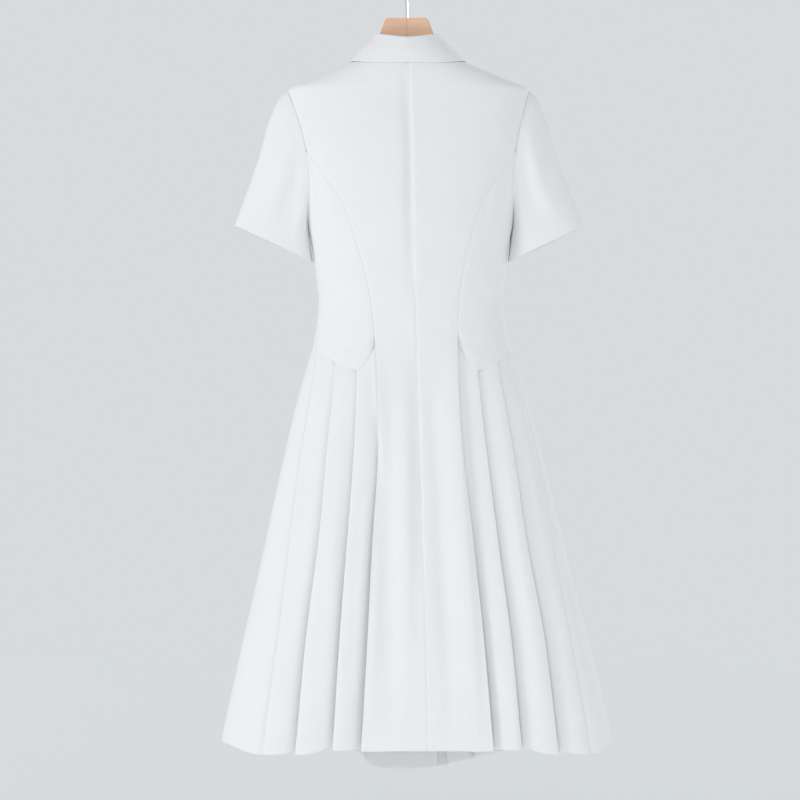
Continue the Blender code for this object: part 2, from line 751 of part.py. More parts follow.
def button(name, across, below, panel, material):
    """A round button with a raised rim, seated flat on the panel that it is sewn to."""
    skin = bmesh.new()
    skin.from_mesh(panel.data)
    tree = BVHTree.FromBMesh(skin)
    skin.free()
    aim = Vector((-across + LEAN * below, -1000.0, -below)) * MM
    seat, normal = tree.ray_cast(aim, Vector((0.0, 1.0, 0.0)))[:2]
    bm = bmesh.new()
    sides = BUTTON_SIDES
    rings = []
    for radius, height in BUTTON_PROFILE:
        rings.append([bm.verts.new((BUTTON_RADIUS * radius * math.cos(2 * math.pi * i / sides),
                                    BUTTON_RADIUS * radius * math.sin(2 * math.pi * i / sides),
                                    BUTTON_THICK * height)) for i in range(sides)])
    foot = bm.verts.new((0, 0, 0))
    face = bm.verts.new((0, 0, BUTTON_THICK * BUTTON_FACE))
    for i in range(sides):
        j = (i + 1) % sides
        bm.faces.new((foot, rings[0][j], rings[0][i]))
        bm.faces.new((face, rings[-1][i], rings[-1][j]))
        for lower_ring, upper_ring in zip(rings, rings[1:]):
            bm.faces.new((lower_ring[i], lower_ring[j], upper_ring[j], upper_ring[i]))
    turn = normal.to_track_quat("Z", "Y").to_matrix()
    bmesh.ops.rotate(bm, matrix=turn, verts=bm.verts[:])
    bmesh.ops.translate(bm, vec=seat / MM + normal * BUTTON_SEAT, verts=bm.verts[:])
    return add_object(name, bm, material)


def shoulder_below(side, across):
    """Level of the shoulder seam over a place on the hanger, which hangs straight."""
    belows = np.linspace(NECK_POINT, SHOULDER_TIP, 101)
    widths = [section_value("half_width", below) for below in belows]
    below = float(np.interp(across, widths, belows))
    return float(np.interp(across - side * LEAN * below, widths, belows))


def hanger_half(name, side, material):
    """One half of the flat wooden hanger, with its long edges rounded."""
    outline = WOOD_NECK + tuple((across, shoulder_below(side, across) + WOOD_TO_CLOTH)
                                for across in WOOD_SHOULDER) + WOOD_LOWER
    bm = bmesh.new()
    front = [bm.verts.new((side * across, -WOOD_THICK / 2, -below)) for across, below in outline]
    bm.faces.new(front)
    grown = bmesh.ops.extrude_face_region(bm, geom=bm.faces[:])
    moved = [item for item in grown["geom"] if isinstance(item, bmesh.types.BMVert)]
    bmesh.ops.translate(bm, vec=(0, WOOD_THICK, 0), verts=moved)
    bmesh.ops.recalc_face_normals(bm, faces=bm.faces[:])
    rims = [edge for edge in bm.edges
            if abs(edge.verts[0].co.y - edge.verts[1].co.y) < 0.01
            and min(abs(vertex.co.x) for vertex in edge.verts) > 0.5]
    bmesh.ops.bevel(bm, geom=rims, offset=WOOD_EDGE_ROUNDING, segments=2, affect="EDGES",
                    clamp_overlap=True)
    return add_object(name, bm, material, smooth_angle=30.0)


def hook_points():
    """Middle line of the wire: straight stem, then round the hook."""
    centre = -(HOOK_RADIUS - WIRE_RADIUS)
    points = [Vector((0, 0, -WOOD_TOP + SEAM_GAP))]
    points += [Vector((0, 0, -level)) for level in STEM_LEVELS]
    start_angle = math.radians(HOOK_START_DEGREES)
    start = Vector((HOOK_RADIUS * math.cos(start_angle), 0,
                    centre + HOOK_RADIUS * math.sin(start_angle)))
    leave = points[-1]
    pull_up = leave + Vector((0, 0, HOOK_PULL_UP))
    pull_back = start - HOOK_PULL_BACK * Vector((-math.sin(start_angle), 0,
                                                 math.cos(start_angle)))
    for step in range(1, 4):
        t = step / 4
        points.append((1 - t)**3 * leave + 3 * (1 - t)**2 * t * pull_up
                      + 3 * (1 - t) * t * t * pull_back + t**3 * start)
    for step in range(HOOK_STEPS):
        angle = start_angle + math.radians(HOOK_STEP_DEGREES) * step
        points.append(Vector((HOOK_RADIUS * math.cos(angle), 0,
                              centre + HOOK_RADIUS * math.sin(angle))))
    return points


def wire_hook(name, material):
    """The hook as a bent round wire with capped ends."""
    points = hook_points()
    sides = 8
    bm = bmesh.new()
    rings = []
    for number, point in enumerate(points):
        before, after = points[max(number - 1, 0)], points[min(number + 1, len(points) - 1)]
        tangent = (after - before).normalized()
        outward = Vector((0, 1, 0))
        beside = tangent.cross(outward)
        angles = [2 * math.pi * i / sides for i in range(sides)]
        rings.append([bm.verts.new(point + WIRE_RADIUS * (math.cos(angle) * outward
                                                          + math.sin(angle) * beside))
                      for angle in angles])
    for first, second in zip(rings, rings[1:]):
        for i in range(sides):
            j = (i + 1) % sides
            bm.faces.new((first[i], first[j], second[j], second[i]))
    bm.faces.new(rings[0][::-1])
    bm.faces.new(rings[-1])
    return add_object(name, bm, material)


for old in list(bpy.data.objects):
    bpy.data.objects.remove(old, do_unlink=True)

white_cloth = make_material("white_suiting", (0.84, 0.85, 0.86), 0.85)
pale_button = make_material("white_button", (0.88, 0.88, 0.87), 0.35)
light_wood = make_material("light_wood", (0.62, 0.43, 0.30), 0.5)
steel_wire = make_material("steel_wire", (0.75, 0.75, 0.77), 0.25, 1.0)

for side, word in ((LEFT, "left"), (RIGHT, "right")):
    cloth_wall("back_" + word, centre_panel(side, BACK), white_cloth)
    cloth_wall("front_" + word, centre_panel(side, FRONT), white_cloth)
    cloth_wall("side_back_" + word, side_panel(side, BACK), white_cloth)
    cloth_wall("side_front_" + word, side_panel(side, FRONT), white_cloth)
    cloth_wall("skirt_back_" + word, pleated_panel(side, BACK), white_cloth)
    cloth_wall("skirt_front_" + word, pleated_panel(side, FRONT), white_cloth)
    cloth_wall("sleeve_" + word, sleeve_rows(side), white_cloth, closed=True)
    cloth_wall("lapel_" + word, lapel_rows(side), white_cloth)
    hanger_half("hanger_" + word, side, light_wood)

cloth_wall("collar", collar_rows(), white_cloth, wall=COLLAR_WALL)
wire_hook("hook", steel_wire)

number = 0
for row in range(BUTTON_ROWS):
    for across in (-BUTTON_ACROSS, BUTTON_ACROSS):
        number += 1
        button("button_" + str(number), across, BUTTON_TOP + BUTTON_STEP * row,
               bpy.data.objects["front_right"], pale_button)
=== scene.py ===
import math

import bmesh
import bpy
import numpy as np
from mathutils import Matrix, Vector
from mathutils.bvhtree import BVHTree


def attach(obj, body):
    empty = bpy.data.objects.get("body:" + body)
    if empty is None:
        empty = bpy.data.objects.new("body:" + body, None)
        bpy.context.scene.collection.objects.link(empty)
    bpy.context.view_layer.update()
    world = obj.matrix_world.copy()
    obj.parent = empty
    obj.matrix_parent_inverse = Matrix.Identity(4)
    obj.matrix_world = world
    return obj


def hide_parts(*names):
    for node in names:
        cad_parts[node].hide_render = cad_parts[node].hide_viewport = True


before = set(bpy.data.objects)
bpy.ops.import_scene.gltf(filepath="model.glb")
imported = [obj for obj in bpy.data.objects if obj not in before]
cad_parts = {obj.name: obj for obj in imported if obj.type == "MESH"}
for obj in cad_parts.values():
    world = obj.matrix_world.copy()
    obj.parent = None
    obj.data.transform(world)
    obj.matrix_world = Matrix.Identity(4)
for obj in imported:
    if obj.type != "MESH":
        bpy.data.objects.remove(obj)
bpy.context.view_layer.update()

# Figure of the dress
# The body of the dress is cut from white suiting and hangs open on its hanger. Every panel
# lies on one set of level sections, filled out from side to side, with the centre back seam
# drifting a little towards the wearer's right as the cloth twists on its way down.
MM = 0.001
LEFT, RIGHT = 1, -1
SIDES = ((LEFT, "left"), (RIGHT, "right"))
BACK, FRONT = "back", "front"
LEAN = -0.0125
NECK_POINT, NECK_BACK, SHOULDER_TIP = 139.0, 142.0, 189.0
YOKE_END, UNDERARM, BREAK_POINT, PRINCESS_END = 284.0, 397.0, 392.0, 585.0
NECK_HALF_WIDTH, OVERLAP, HEM_LEVEL = 70.0, 50.0, 1207.0
SECTION = {
    "below": (139, 148, 172, 189, 240, 285, 338, 397, 430, 458, 485, 516, 562, 609, 672, 796, 921,
              1046, 1171, 1202, 1270),
    "half_width": (70, 94, 152, 188, 190, 183, 171, 160.5, 153.5, 149.3, 146, 143.5, 148, 160.7,
                   179.4, 210, 238.7, 269.5, 298.7, 305, 320),
    "back_depth": (48, 52, 56, 58, 64, 68, 72, 73, 71, 69, 67, 65, 64, 66, 71, 79, 86, 92, 97, 98,
                   100),
    "front_depth": (44, 46, 49, 52, 62, 77, 88, 92, 88, 83, 77, 73, 72, 75, 80, 88, 94, 100, 105,
                    106, 108),
    "squareness": (2.2,) * 13 + (2.25, 2.3, 2.35) + (2.4,) * 5,
    "twist": (-0.6, -0.8, -1.2, -1.5, -2.6, -3.4, -3.8, -4.2, -4.8, -5.4, -6, -6.5, -7.2, -8.3,
              -10, -12.4, -14, -16, -16.4, -16.4, -16.4),
}
ARMHOLE_LEVELS = (189, 215, 239, 262, 284, 320, 350, 380, 397)
PRINCESS_LEVELS = (284, 312, 337, 364, 398, 433, 459, 502, 540, 585)
PLEAT_LEVELS = (560, 585, 625, 672, 736, 886, 1039, 1206, 1270)
HEM_PLACES = (0, 30, 50, 72, 100, 146, 186, 256, 306)
SEAMS = {
    "armhole": (ARMHOLE_LEVELS, (188, 179.5, 172.5, 166.5, 162.5, 158, 157.5, 159.5, 160.5)),
    "armhole_front": (ARMHOLE_LEVELS, (188, 176.5, 168, 161.5, 157, 152, 152, 156.5, 160.5)),
    "princess": (PRINCESS_LEVELS, (162.5, 144, 126, 108.5, 96.5, 87, 79.5, 71, 66.5, 64)),
    "princess_front": (PRINCESS_LEVELS, (157, 141, 127, 114, 102, 92, 85, 74, 68, 64)),
    "pleat_1": (PLEAT_LEVELS, (64.5, 64, 62.5, 62, 64, 77, 89, 101, 106)),
    "pleat_2": (PLEAT_LEVELS, (88, 90, 93, 96, 101, 116, 132, 145, 150)),
    "pleat_3": (PLEAT_LEVELS, (120, 123, 127, 133, 142, 160, 184, 202, 209)),
    "side": (PLEAT_LEVELS, (1.0, 0.985, 0.95, 0.927, 0.915, 0.883, 0.843, 0.822, 0.815)),
    "waist": ((64, 78, 93, 108, 127, 142, 156), (587, 611, 626, 622, 613, 604, 594)),
    "hem_back": (HEM_PLACES, (1207, 1207, 1207, 1208, 1208, 1207, 1214, 1216, 1202)),
    "hem_front_left": (HEM_PLACES, (1261, 1260, 1256, 1236, 1224, 1217, 1213, 1207, 1202)),
    "hem_front_right": (HEM_PLACES, (1261, 1260, 1258, 1253, 1246, 1234, 1222, 1208, 1202)),
}


def smooth_curve(places, values):
    """A function that runs smoothly through a few values without overshooting them."""
    places, values = np.asarray(places, float), np.asarray(values, float)
    steps = np.diff(places)
    slopes = np.diff(values) / steps
    tangents = np.zeros_like(values)
    tangents[0], tangents[-1] = slopes[0], slopes[-1]
    for i in range(1, len(steps)):
        if slopes[i - 1] * slopes[i] > 0:
            tangents[i] = 2 * slopes[i - 1] * slopes[i] / (slopes[i - 1] + slopes[i])

    def at(where):
        where = np.clip(where, places[0], places[-1])
        i = np.clip(np.searchsorted(places, where, side="right") - 1, 0, len(steps) - 1)
        t = (where - places[i]) / steps[i]
        return ((2 * t**3 - 3 * t**2 + 1) * values[i]
                + (t**3 - 2 * t**2 + t) * steps[i] * tangents[i]
                + (3 * t**2 - 2 * t**3) * values[i + 1]
                + (t**3 - t**2) * steps[i] * tangents[i + 1])

    return at


section = {name: smooth_curve(SECTION["below"], values) for name, values in SECTION.items()
           if name != "below"}
seam = {name: smooth_curve(*rows) for name, rows in SEAMS.items()}

RING_START, RING_END, RING_STEP, RING_SPOTS, QUARTER_TURNS = 136.0, 1272.0, 2.0, 401, 360
ring_levels = np.arange(RING_START, RING_END + RING_STEP, RING_STEP)
ring_x, ring_y = np.empty((2, len(ring_levels), RING_SPOTS))
ring_length, back_length = np.empty((2, len(ring_levels)))
angle = np.linspace(0, math.pi, 2 * QUARTER_TURNS + 1)
for index, level in enumerate(ring_levels):
    power = 2 / section["squareness"](level)
    x = section["half_width"](level) * np.abs(np.sin(angle)) ** power
    y = np.abs(np.cos(angle)) ** power
    y = np.where(angle <= math.pi / 2, section["back_depth"](level) * y,
                 -section["front_depth"](level) * y)
    along = np.concatenate(([0], np.cumsum(np.hypot(np.diff(x), np.diff(y)))))
    spots = np.linspace(0, along[-1], RING_SPOTS)
    ring_x[index], ring_y[index] = np.interp(spots, along, x), np.interp(spots, along, y)
    ring_length[index], back_length[index] = along[-1], along[QUARTER_TURNS]


def ring_total(below):
    return np.interp(below, ring_levels, ring_length)


def quarter(face, below):
    back = np.interp(below, ring_levels, back_length)
    return back if face == BACK else ring_total(below) - back


def ring_xy(place, below):
    """Across and depth at a length along a section, centre back to centre front."""
    row = np.clip((below - RING_START) / RING_STEP, 0, len(ring_levels) - 1.001)
    spot = np.clip(place / ring_total(below) * (RING_SPOTS - 1), 0, RING_SPOTS - 1.001)
    i, j = row.astype(int), spot.astype(int)
    s, t = row - i, spot - j

    def mix(table):
        return ((1 - s) * ((1 - t) * table[i, j] + t * table[i, j + 1])
                + s * ((1 - t) * table[i + 1, j] + t * table[i + 1, j + 1]))

    return mix(ring_x), mix(ring_y)


SLOPE_REACH, HALVINGS = 2.0, 26


def cloth_points(side, face, distance, inward, below):
    """Points of the dress in metres: distance from a face's centre line, depth inwards."""
    distance, inward, below = np.broadcast_arrays(np.asarray(distance, float), inward, below)
    total = ring_total(below)
    place = np.where(face == BACK, distance, total - distance) + side * section["twist"](below)
    mirror = np.where((place < 0) | (place > total), -1.0, 1.0)
    place = np.where(place < 0, -place, np.where(place > total, 2 * total - place, place))
    x, y = ring_xy(place, below)
    ahead = ring_xy(np.minimum(place + SLOPE_REACH, total), below)
    behind = ring_xy(np.maximum(place - SLOPE_REACH, 0), below)
    run_x, run_y = ahead[0] - behind[0], ahead[1] - behind[1]
    size = np.hypot(run_x, run_y)
    x, y = x + inward * run_y / size, y - inward * run_x / size
    return np.stack((LEAN * below + side * mirror * x, y, -below), axis=-1) * MM


def distance_for(face, below, across):
    """Length round a section from a face's centre line to a place straight across."""
    size, below = np.broadcast_arrays(np.abs(np.asarray(across, float)), below)
    low, high = np.zeros(size.shape), quarter(face, below) * np.ones(size.shape)
    for _ in range(HALVINGS):
        middle = (low + high) / 2
        place = middle if face == BACK else ring_total(below) - middle
        short = ring_xy(place, np.asarray(below, float))[0] < size
        low, high = np.where(short, middle, low), np.where(short, high, middle)
    return np.copysign(middle, across)


def across_at(face, below, distance):
    place = distance if face == BACK else ring_total(below) - distance
    return ring_xy(np.asarray(place, float), np.asarray(below, float) + 0 * place)[0]


def face_name(name, face):
    return name if face == BACK else name + "_front"


def distance_within(face, below, across):
    """As distance_for, with the place kept inside the outline of the dress."""
    return distance_for(face, below, np.minimum(across, section["half_width"](below)))


def armhole_edge(face, below):
    return distance_within(face, below, seam[face_name("armhole", face)](below))


def outer_edge(face, below):
    """The centre panels' outer edge: armhole, then princess seam, then the first pleat."""
    across = np.where(below <= PRINCESS_END, seam[face_name("princess", face)](below),
                      seam["pleat_1"](below))
    return np.where(below <= YOKE_END, armhole_edge(face, below),
                    distance_within(face, below, across))


def side_seam(face, below):
    from_back = distance_for(BACK, below, seam["side"](below) * section["half_width"](below))
    return from_back if face == BACK else ring_total(below) - from_back


def roll_across(below):
    slope = (NECK_HALF_WIDTH + OVERLAP) / (BREAK_POINT - NECK_POINT)
    return NECK_HALF_WIDTH - slope * (below - NECK_POINT)


def hem_below(side, face, across):
    word = "hem_back" if face == BACK else "hem_front_left" if side == LEFT else "hem_front_right"
    return seam[word](np.abs(across))


def part_way(value, start, end):
    return np.clip((value - start) / (end - start), 0, 1)


def ease(value, start, end):
    t = part_way(value, start, end)
    return t * t * (3 - 2 * t)


def blend(start, end, share):
    return start + (end - start) * share


def placed(name, data):
    """A new object in the scene."""
    made = bpy.data.objects.new(name, data)
    bpy.context.collection.objects.link(made)
    return made


def smoothed(mesh):
    mesh.polygons.foreach_set("use_smooth", np.ones(len(mesh.polygons), bool))


def evaluated_mesh(piece):
    """A new mesh of a piece as its modifiers make it."""
    bpy.context.view_layer.update()
    graph = bpy.context.evaluated_depsgraph_get()
    return bpy.data.meshes.new_from_object(piece.evaluated_get(graph))


# Cloth
# One white wool suiting is used for every sewn piece. It is a plain weave with slightly uneven
# yarns, pressed flat, with no shine. Each piece is one thin shell whose turned edges are
# rounded, so that the seams between pieces show as fine grooves.
class Value:
    """A shader value that ordinary arithmetic works on."""

    def __init__(self, graph, socket):
        self.graph, self.socket = graph, socket

    def operate(self, kind, *others):
        return self.graph.add("ShaderNodeMath", (self, *others), operation=kind)

    def __add__(self, other):
        return self.operate("ADD", other)

    def __mul__(self, other):
        return self.operate("MULTIPLY", other)

    def sine(self):
        return self.operate("SINE")

    def limited(self, low, high):
        return self.operate("MAXIMUM", low).operate("MINIMUM", high)


class Graph:
    """The nodes of one material round its Principled shader."""

    def __init__(self, name, colour, roughness, metallic=0.0, coat=0.0):
        self.material = bpy.data.materials.new(name)
        self.material.use_nodes = True
        self.nodes = self.material.node_tree.nodes
        self.shader = self.nodes["Principled BSDF"]
        for socket, value in (("Base Color", (*colour, 1.0)), ("Roughness", roughness),
                              ("Metallic", metallic), ("Coat Weight", coat)):
            self.shader.inputs[socket].default_value = value

    def link(self, source, target):
        self.material.node_tree.links.new(source.socket, target)

    def add(self, kind, inputs=(), output=0, **settings):
        node = self.nodes.new(kind)
        for name, value in settings.items():
            setattr(node, name, value)
        pairs = inputs.items() if isinstance(inputs, dict) else enumerate(inputs)
        for key, value in pairs:
            if isinstance(value, Value):
                self.link(value, node.inputs[key])
            else:
                node.inputs[key].default_value = value
        return Value(self, node.outputs[output])

    def noise(self, vector, scale, detail=2.0):
        return self.add("ShaderNodeTexNoise", {"Vector": vector, "Scale": scale,
                                               "Detail": detail})

    def colour(self, share, low, high):
        mixed = self.add("ShaderNodeMix", {0: share, 6: (*low, 1.0), 7: (*high, 1.0)}, output=2,
                         data_type="RGBA")
        self.link(mixed, self.shader.inputs["Base Color"])

    def bump(self, height, distance, strength):
        normal = self.add("ShaderNodeBump", {"Height": height, "Distance": distance,
                                             "Strength": strength})
        self.link(normal, self.shader.inputs["Normal"])

    def axes(self, vector):
        return [self.add("ShaderNodeSeparateXYZ", (vector,), output=axis) for axis in range(3)]


YARNS_PER_METRE = 1500.0


def suiting():
    graph = Graph("white_suiting", (0.775, 0.78, 0.80), 0.86)
    flat = graph.add("ShaderNodeUVMap", uv_map="cloth")
    wander = graph.noise(flat, 90.0, 3.0)
    across, down, _ = graph.axes(flat)
    warp = (across * (2 * math.pi * YARNS_PER_METRE) + wander * 5.0).sine()
    weft = (down * (2 * math.pi * YARNS_PER_METRE) + wander * 5.0).sine()
    uneven, soft = graph.noise(flat, 420.0), graph.noise(flat, 16.0)
    graph.colour((soft * 0.6 + uneven * 0.4).limited(0.0, 1.0), (0.755, 0.756, 0.770),
                 (0.814, 0.813, 0.824))
    graph.bump(warp * weft * 0.06 + uneven * 0.22 + soft * 2.2, 0.0006, 0.5)
    return graph.material


cloth = suiting()
CLOTH_WALL, RIM_OUT = 1.0, 0.9


def unit(vectors):
    return vectors / np.maximum(np.linalg.norm(vectors, axis=-1, keepdims=True), 1e-12)


def slopes(points, closed):
    """Directions down and along a grid of points, up to its edges."""
    down = np.gradient(points, axis=0, edge_order=2)
    if closed:
        return down, np.roll(points, -1, axis=1) - np.roll(points, 1, axis=1)
    return down, np.gradient(points, axis=1, edge_order=2)


def outward_normals(points, outward, closed=False):
    down, along = slopes(points, closed)
    return unit(outward * np.cross(along, down))


def shell(name, points, outward, relief=0.0, wall=CLOTH_WALL, closed=False):
    """A finished cloth piece: a grid of points, moved out by relief mm and given its wall."""
    points = np.asarray(points, float)
    normals = outward_normals(points, outward, closed)
    middle = points + normals * np.asarray(relief, float)[..., None] * MM
    normals = outward_normals(middle, outward, closed)
    half = np.broadcast_to(wall / 2 * MM, middle.shape[:2])[..., None]
    grid = np.arange(half.size).reshape(half.shape[:2])
    down, along = (unit(way) for way in slopes(middle, closed))
    away = np.zeros_like(middle)
    away[0], away[-1] = -down[0], down[-1]
    if closed:
        rims = [grid[0], grid[-1]]
        grid = np.hstack((grid, grid[:, :1]))
    else:
        away[:, 0] -= along[:, 0]
        away[:, -1] += along[:, -1]
        rims = [np.concatenate((grid[0, :-1], grid[:-1, -1], grid[-1, :0:-1], grid[:0:-1, 0]))]
    edge = middle + unit(away) * half * RIM_OUT
    outer, inner, edge = (part.reshape(-1, 3) for part in (
        middle + normals * half, middle - normals * half, edge))
    faces = [quads(grid), quads(grid + half.size)]
    count = 2 * half.size
    for rim in rims:
        loop, middles = np.append(rim, rim[0]), np.append(np.arange(len(rim)), 0) + count
        faces += strip(loop, middles, loop + half.size)
        count += len(rim)
    spots = np.concatenate([outer, inner] + [edge[rim] for rim in rims])
    mesh = bpy.data.meshes.new(name)
    mesh.from_pydata(spots.tolist(), [], np.concatenate(faces).tolist())
    flat = flat_places(middle)
    finish_mesh(mesh, np.concatenate([flat, flat] + [flat[rim] for rim in rims]))
    mesh.materials.append(cloth)
    return placed(name, mesh)


def quads(grid):
    return np.stack((grid[:-1, :-1], grid[1:, :-1], grid[1:, 1:], grid[:-1, 1:]), -1).reshape(-1, 4)


def strip(outer, rim, inner):
    return [np.stack((first[:-1], first[1:], second[1:], second[:-1]), -1)
            for first, second in ((outer, rim), (rim, inner))]


def flat_places(middle):
    """Where each point of a piece lies on the flat cloth, in metres."""
    along = np.linalg.norm(np.diff(middle, axis=1), axis=2)
    down = np.linalg.norm(np.diff(middle, axis=0), axis=2)
    across = np.pad(np.cumsum(along, axis=1), ((0, 0), (1, 0)))
    across -= across[:, across.shape[1] // 2][:, None]
    length = np.pad(np.cumsum(down, axis=0), ((1, 0), (0, 0)))
    return np.stack((across, length), -1).reshape(-1, 2)


def finish_mesh(mesh, flat):
    skin = bmesh.new()
    skin.from_mesh(mesh)
    bmesh.ops.recalc_face_normals(skin, faces=skin.faces[:])
    skin.to_mesh(mesh)
    skin.free()
    layer = mesh.uv_layers.new(name="cloth")
    corners = np.empty(len(mesh.loops), int)
    mesh.loops.foreach_get("vertex_index", corners)
    layer.data.foreach_set("uv", flat[corners].ravel())
    smoothed(mesh)
    mesh.update()


def worn(piece, node):
    """Attach a finished cloth piece to the root, in place of its CAD node, which is hidden."""
    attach(piece, "root")
    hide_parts(node)


# Folds in the cloth
# The pressed cloth still hangs in a few soft folds of its own: troughs and ridges of uneven
# length, depth and spacing. Each is a path of places (distance from the face's centre seam,
# level below the hook), a height in mm and its reach to either side.
FOLD_STEPS, FOLD_POWER = 5, 0.7


def fold(across, below, path, height, reach_left, reach_right):
    last = len(path) - 1
    fine = np.linspace(0, last, FOLD_STEPS * last + 1)
    xs, ys = (smooth_curve(range(len(path)), values)(fine) for values in zip(*path))
    nearest = np.full(np.shape(across), 1e9)
    offset, along = np.zeros_like(nearest), np.zeros_like(nearest)
    for i in range(len(xs) - 1):
        dx, dy = xs[i + 1] - xs[i], ys[i + 1] - ys[i]
        t = np.clip(((across - xs[i]) * dx + (below - ys[i]) * dy) / (dx * dx + dy * dy), 0, 1)
        gap_x, gap_y = across - xs[i] - t * dx, below - ys[i] - t * dy
        gap = np.hypot(gap_x, gap_y)
        closer = gap < nearest
        nearest = np.where(closer, gap, nearest)
        offset = np.where(closer, np.sign(gap_x * dy - gap_y * dx), offset)
        along = np.where(closer, (i + t) / (len(xs) - 1), along)
    reach = np.where(offset > 0, reach_left, reach_right)
    rise = np.sin(np.pi * np.clip(along, 0.02, 0.98)) ** FOLD_POWER
    return height * rise * np.exp(-(nearest / reach) ** 2)


def folded(folds, across, below):
    """How far a piece's cloth stands out of its plain form, in mm."""
    across, below = np.broadcast_arrays(across, below)
    return sum(fold(across, below, *row) for row in folds)


BACK_FOLDS = [
    ([(2.5, 150), (2.5, 215), (2.3, 290), (2.5, 400), (2.5, 505)], -5.0, 9.0, 3.0),
    ([(-5.0, 150), (-5.0, 230), (-5.2, 330), (-5.0, 520)], 1.0, 5.0, 12.0),
    ([(1.5, 590), (1.5, 690), (1.5, 800), (1.5, 960)], -3.0, 10.0, 2.5),
    ([(-56, 575), (-58, 650), (-60, 760), (-66, 900), (-72, 1040), (-76, 1200)], 6.0, 30.0, 10.0),
    ([(-22, 640), (-26, 760), (-30, 920), (-34, 1060), (-38, 1190)], -5.0, 14.0, 18.0),
    ([(52, 700), (52, 880), (54, 1020), (56, 1190)], -6.5, 24.0, 14.0),
    ([(22, 640), (24, 780), (26, 920), (28, 1060)], 4.0, 14.0, 12.0),
    ([(84, 800), (90, 890), (100, 990), (110, 1130)], 2.2, 6.0, 10.0),
    ([(68, 890), (73, 970), (80, 1060), (85, 1170)], 1.6, 6.0, 8.0),
    ([(62, 590), (63, 650), (58, 740), (54, 800)], 3.6, 6.0, 12.0),
    ([(-168, 617), (-193, 795), (-234, 996), (-270, 1196)], 5.5, 20.0, 12.0),
    ([(-126, 660), (-146, 860), (-168, 1040), (-182, 1190)], 3.2, 9.0, 18.0),
    ([(118, 700), (132, 860), (146, 1030), (156, 1180)], 2.4, 12.0, 10.0),
    ([(168, 680), (196, 860), (222, 1010), (246, 1190)], -3.6, 14.0, 18.0),
    ([(-214, 760), (-240, 920), (-262, 1080)], -3.0, 13.0, 13.0),
    ([(196, 700), (226, 860), (262, 1040), (286, 1190)], 4.2, 14.0, 16.0),
    ([(30, 560), (55, 578), (92, 592), (130, 590)], -0.9, 9.0, 6.0),
    ([(-28, 555), (-60, 575), (-96, 585), (-128, 580)], -1.0, 8.0, 6.0),
    ([(100, 480), (120, 505), (146, 516)], 1.2, 8.0, 8.0),
    ([(-96, 470), (-120, 498), (-146, 508)], 1.3, 7.0, 9.0),
    ([(140, 330), (128, 370), (122, 420)], 1.5, 9.0, 9.0),
    ([(-144, 330), (-130, 366), (-118, 430)], 1.7, 8.0, 10.0),
    ([(160, 300), (150, 345), (148, 395)], -1.4, 6.0, 6.0),
    ([(-162, 305), (-152, 350), (-148, 400)], -1.2, 6.0, 7.0),
]
FRONT_FOLDS = [
    ([(140, 330), (124, 372), (112, 430)], 1.8, 9.0, 9.0),
    ([(-144, 326), (-128, 366), (-116, 424)], 1.6, 8.0, 10.0),
    ([(100, 480), (120, 508), (150, 520)], 1.3, 8.0, 8.0),
    ([(-92, 474), (-118, 500), (-146, 512)], 1.2, 7.0, 9.0),
    ([(86, 700), (96, 860), (112, 1040), (122, 1190)], 1.8, 10.0, 14.0),
    ([(-84, 690), (-98, 880), (-110, 1050), (-124, 1190)], 1.6, 14.0, 9.0),
    ([(64, 760), (72, 930), (80, 1100)], -1.5, 9.0, 8.0),
    ([(-20, 660), (-26, 860), (-34, 1040), (-38, 1200)], 1.5, 14.0, 14.0),
    ([(168, 640), (194, 800), (232, 1000), (268, 1190)], 4.2, 18.0, 12.0),
    ([(-170, 650), (-198, 820), (-230, 1000), (-264, 1190)], 4.4, 13.0, 18.0),
    ([(20, 640), (24, 800), (22, 960)], -1.3, 12.0, 9.0),
]


def relief(side, face, distance, below):
    return folded(BACK_FOLDS if face == BACK else FRONT_FOLDS, side * distance, below)


def groove(gap, depth=0.5, reach=1.8):
    """The dip of pressed cloth beside a seam, a gap in mm away."""
    return depth * np.exp(-(gap / reach) ** 2)


HEM_TURN, HEM_DIP_REACH, HEM_EDGE, HEM_THICKER = 27.0, 2.6, 2.0, 0.7


def hem_line(hem, below):
    """The turned hem shows outside as a faint dip where its upper edge is caught down."""
    return groove(hem - HEM_TURN - below, reach=HEM_DIP_REACH)


def hem_wall(hem, below, wall):
    """The cloth is double where the hem is turned up inside."""
    turned_up = hem - HEM_TURN
    return wall + HEM_THICKER * ease(below, turned_up - HEM_EDGE, turned_up + HEM_EDGE)


def shares(count, towards_ends=0.6):
    even = np.linspace(0, 1, count)
    return blend(even, (1 - np.cos(math.pi * even)) / 2, towards_ends)


# Back panels
# Two full-length back panels run from the neck and shoulders to the hem, joined down the
# centre back and ending along the princess seams and, in the skirt, at the first pleat.
SEAM_HALF, SHOULDER_SET_BACK = 0.2, 0.6
NECK_SHARE, NECK_CORNER = 0.37, 0.1
UNDER_LAPEL, UNDER_FRONT, SUNK_BEYOND = 6.4, 3.0, 5.0
CLOSES_OVER, SLOPE_OPEN, SLOPE_CLOSED = 50.0, 70.0, 8.0
HEM_EVEN_FROM, LOWEST_LEVEL = 625.0, 1206.0
SEAM_FADES, DEEPER_FROM, YOKE_SHARE = (560.0, 600.0), (270.0, 290.0), 0.4


